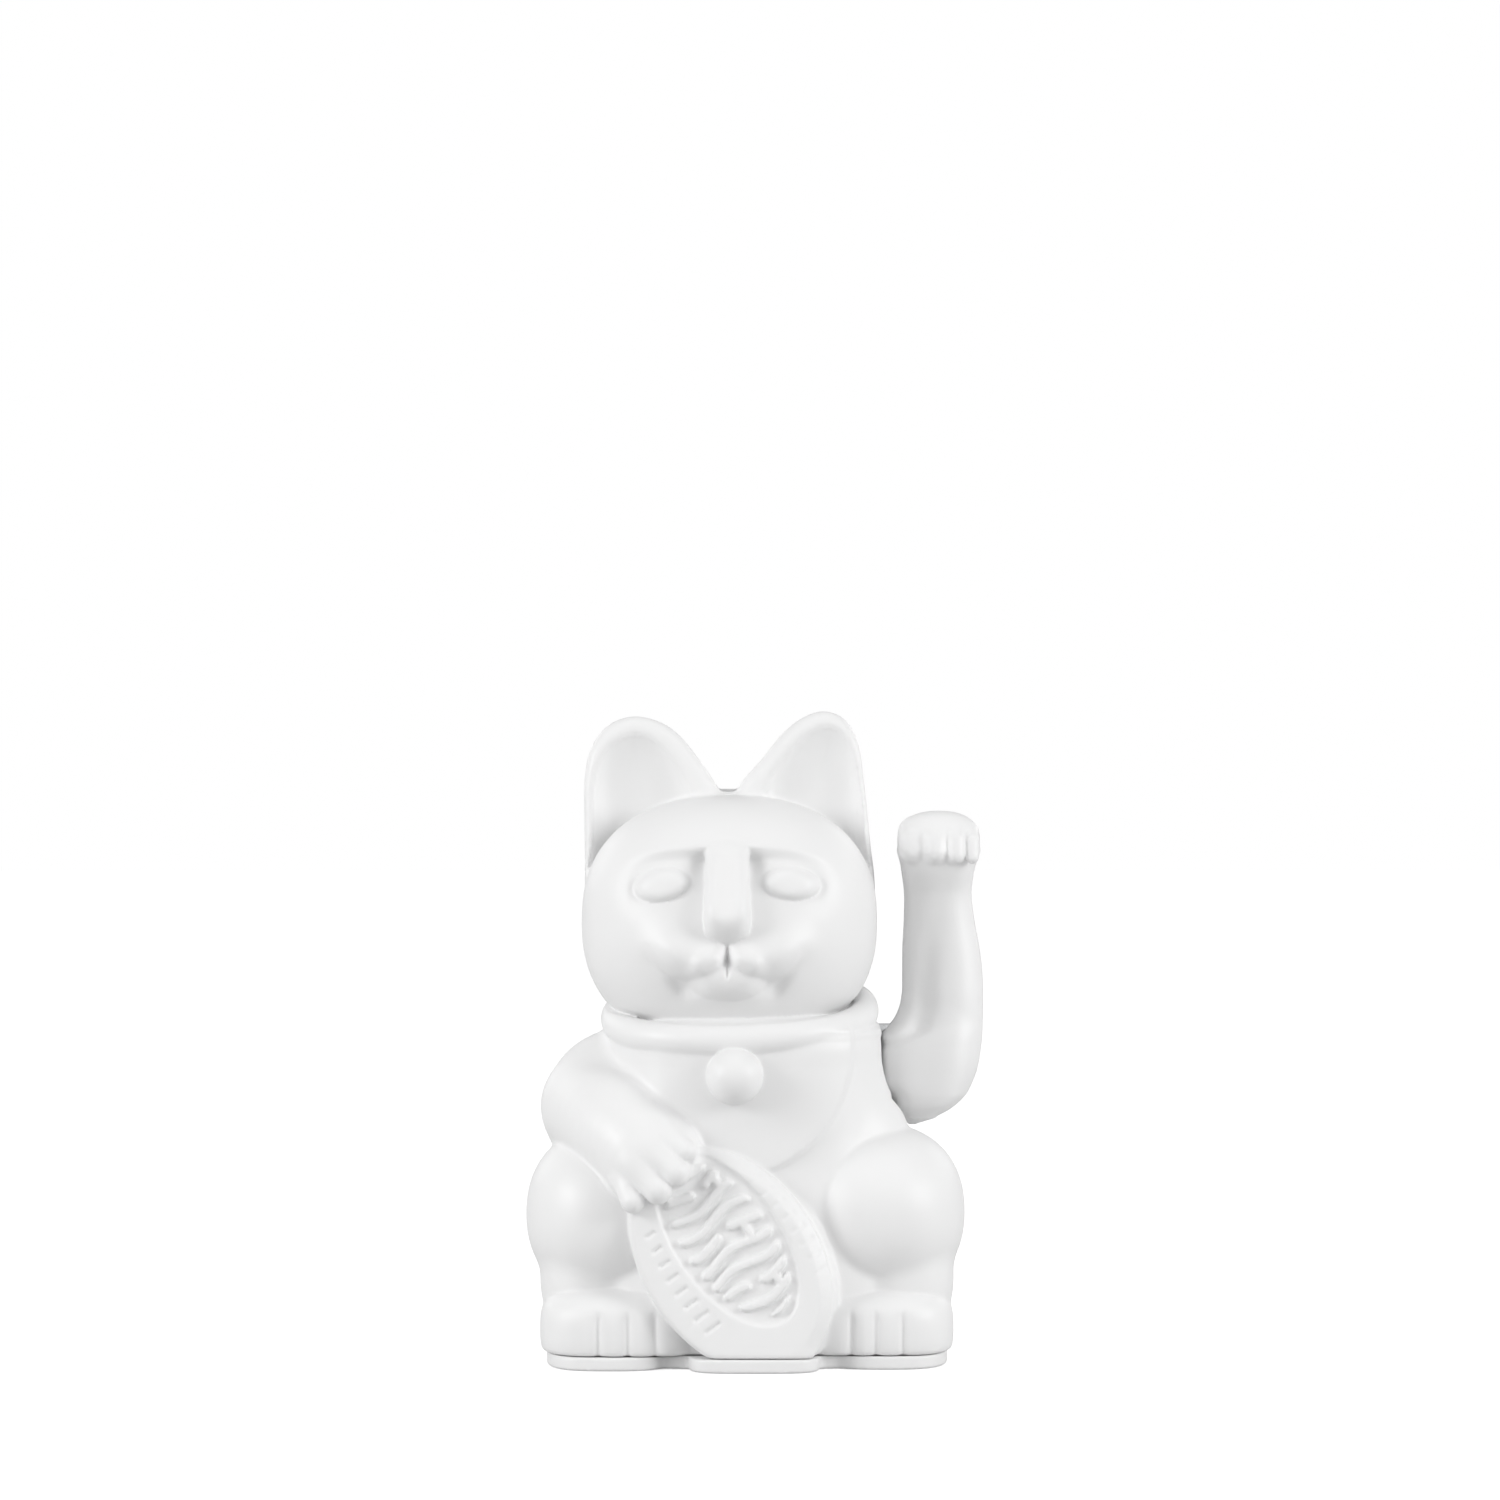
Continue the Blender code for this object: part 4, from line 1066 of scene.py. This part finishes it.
def noise(tree, scale, detail):
    """Noise in object space; scale is in features per metre."""
    place = tree.nodes.new("ShaderNodeTexCoord")
    texture = tree.nodes.new("ShaderNodeTexNoise")
    texture.inputs["Scale"].default_value = scale
    texture.inputs["Detail"].default_value = detail
    tree.links.new(place.outputs["Object"], texture.inputs["Vector"])
    return texture.outputs["Fac"]


def spread(tree, source, low, high):
    ramp = tree.nodes.new("ShaderNodeMapRange")
    ramp.inputs["From Min"].default_value = 0.3
    ramp.inputs["From Max"].default_value = 0.7
    ramp.inputs["To Min"].default_value = low
    ramp.inputs["To Max"].default_value = high
    tree.links.new(source, ramp.inputs["Value"])
    return ramp.outputs["Result"]


def finish_material(name, colour, roughness, metallic=0.0, vary=0.02, grain=2600.0, bump=0.00002, coat=0.0):
    """Colour that drifts a little, roughness that varies, and a fine grain."""
    material, tree, shader = nodes_of(name)
    shader.inputs["Metallic"].default_value = metallic
    shader.inputs["Coat Weight"].default_value = coat
    mix = tree.nodes.new("ShaderNodeMix")
    mix.data_type = "RGBA"
    mix.inputs["A"].default_value = (*[value * (1.0 - vary) for value in colour], 1.0)
    mix.inputs["B"].default_value = (*[min(1.0, value * (1.0 + vary)) for value in colour], 1.0)
    tree.links.new(noise(tree, 45.0, 3.0), mix.inputs["Factor"])
    tree.links.new(mix.outputs["Result"], shader.inputs["Base Color"])
    uneven = spread(tree, noise(tree, 160.0, 4.0), roughness * 0.9, roughness * 1.1)
    tree.links.new(uneven, shader.inputs["Roughness"])
    bumps = tree.nodes.new("ShaderNodeBump")
    bumps.inputs["Strength"].default_value = 0.5
    bumps.inputs["Distance"].default_value = bump
    tree.links.new(noise(tree, grain, 2.0), bumps.inputs["Height"])
    tree.links.new(bumps.outputs["Normal"], shader.inputs["Normal"])
    return material


def white_plastic():
    return finish_material("white_moulding", (0.8, 0.8, 0.8), 0.45, vary=0.006, bump=0.000012)


def dress_frame(white):
    """Finishes for the CAD nodes that stay."""
    steel = finish_material("zinc_steel", (0.72, 0.73, 0.74), 0.28, 1.0, 0.05, 5200.0)
    nickel = finish_material("nickel", (0.76, 0.75, 0.71), 0.2, 1.0, 0.04, 5200.0)
    grey = finish_material("grey_moulding", (0.30, 0.31, 0.33), 0.5, 0.0, 0.03)
    copper = finish_material("enamelled_copper", (0.72, 0.32, 0.14), 0.3, 1.0, 0.12, 9000.0, 0.00005, 0.4)
    wrap = finish_material("cell_film", (0.10, 0.12, 0.15), 0.3, 0.0, 0.05, 3000.0, 0.00001, 0.6)
    board = finish_material("board_laminate", (0.03, 0.20, 0.08), 0.4, 0.0, 0.15, 1500.0)
    epoxy = finish_material("epoxy", (0.025, 0.025, 0.027), 0.5, 0.0, 0.1, 4200.0)
    sleeve = finish_material("capacitor_sleeve", (0.04, 0.06, 0.2), 0.35, 0.0, 0.05, 3000.0, 0.00001, 0.4)
    red = finish_material("red_insulation", (0.55, 0.025, 0.02), 0.4, 0.0, 0.05)
    black = finish_material("black_insulation", (0.02, 0.02, 0.022), 0.4, 0.0, 0.05)
    looks = {
        steel: ["axle", "axle_clip", "board_screw", "tower_screw_1", "tower_screw_2"],
        nickel: ["magnet", "battery_spring", "positive_contact", "negative_contact"],
        grey: ["axle_tower", "pendulum_lever", "coil_bobbin"],
        copper: ["drive_coil", "coil_lead_1", "coil_lead_2"],
        wrap: ["battery_cell"],
        board: ["circuit_board"],
        epoxy: ["driver_chip"],
        sleeve: ["capacitor"],
        red: ["red_lead"],
        black: ["black_lead"],
        white: ["battery_door"],
    }
    looks[steel] += [f"base_screw_{number}" for number in (1, 2, 3, 4)]
    for material, names in looks.items():
        for name in names:
            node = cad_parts[name]
            if not node.material_slots:
                node.data.materials.append(material)
            for holder in node.material_slots:
                holder.material = material


# ---------------------------------------------------------------- stage


LIGHT_FROM = (0.0, -0.5, 0.866)
FLOOR_LIFT = 0.64


def floor_material():
    """Pale and plain, and lifted to near white for the camera only."""
    material = finish_material("floor_white", (0.6, 0.6, 0.6), 0.6, vary=0.0)
    tree = material.node_tree
    path = tree.nodes.new("ShaderNodeLightPath")
    lift = tree.nodes.new("ShaderNodeMath")
    lift.operation = "MULTIPLY"
    lift.inputs[1].default_value = FLOOR_LIFT
    tree.links.new(path.outputs["Is Camera Ray"], lift.inputs[0])
    shader = tree.nodes["Principled BSDF"]
    shader.inputs["Emission Color"].default_value = (1.0, 1.0, 1.0, 1.0)
    tree.links.new(lift.outputs[0], shader.inputs["Emission Strength"])
    return material


def floor():
    bpy.ops.mesh.primitive_plane_add(size=6.0, location=(0.0, 1.5, -0.0001))
    ground = bpy.context.object
    ground.name = "floor"
    ground.data.materials.append(floor_material())


def studio_world():
    """White to the camera. As light it is brightest from ahead and above, and fades to the rear."""
    world = bpy.data.worlds.new("studio")
    world.use_nodes = True
    tree = world.node_tree
    place = tree.nodes.new("ShaderNodeTexCoord")
    facing = tree.nodes.new("ShaderNodeVectorMath")
    facing.operation = "DOT_PRODUCT"
    facing.inputs[1].default_value = LIGHT_FROM
    tree.links.new(place.outputs["Generated"], facing.inputs[0])
    ramp = tree.nodes.new("ShaderNodeMapRange")
    ramp.inputs["From Min"].default_value = -1.0
    ramp.inputs["To Min"].default_value = 0.12
    ramp.inputs["To Max"].default_value = 0.8
    tree.links.new(facing.outputs["Value"], ramp.inputs["Value"])
    path = tree.nodes.new("ShaderNodeLightPath")
    choice = tree.nodes.new("ShaderNodeMix")
    choice.inputs["B"].default_value = 1.0
    tree.links.new(path.outputs["Is Camera Ray"], choice.inputs["Factor"])
    tree.links.new(ramp.outputs["Result"], choice.inputs["A"])
    tree.links.new(choice.outputs["Result"], tree.nodes["Background"].inputs["Strength"])
    tree.nodes["Background"].inputs["Color"].default_value = (1.0, 1.0, 1.0, 1.0)
    return world


def area_light(name, place, size, power, target=(0.0, 0.0, 0.07)):
    light = bpy.data.lights.new(name, "AREA")
    light.shape = "DISK"
    light.size = size
    light.energy = power
    lamp = bpy.data.objects.new(name, light)
    lamp.location = place
    lamp.rotation_euler = (Vector(target) - Vector(place)).to_track_quat("-Z", "Y").to_euler()
    bpy.context.scene.collection.objects.link(lamp)


def studio():
    scene = bpy.context.scene
    scene.view_settings.view_transform = "Standard"
    scene.world = studio_world()
    for side in (-1.0, 1.0):
        area_light("softbox", (side * 1.25, -0.6, 0.55), 0.7, 9.5)
        area_light("rear_softbox", (side * 0.9, 1.2, 0.6), 0.7, 1.5)
    lens = bpy.data.cameras.new("camera")
    lens.sensor_width = 36.0
    lens.lens = 115.7
    camera = bpy.data.objects.new("camera", lens)
    camera.location = (0.0, -1.130, 0.141)
    camera.rotation_euler = (math.radians(90.0), 0.0, 0.0)
    scene.collection.objects.link(camera)
    scene.camera = camera


def main():
    white = white_plastic()
    casings(white)
    raised_arm(white)
    base_plate(white)
    dress_frame(white)
    floor()
    studio()


main()
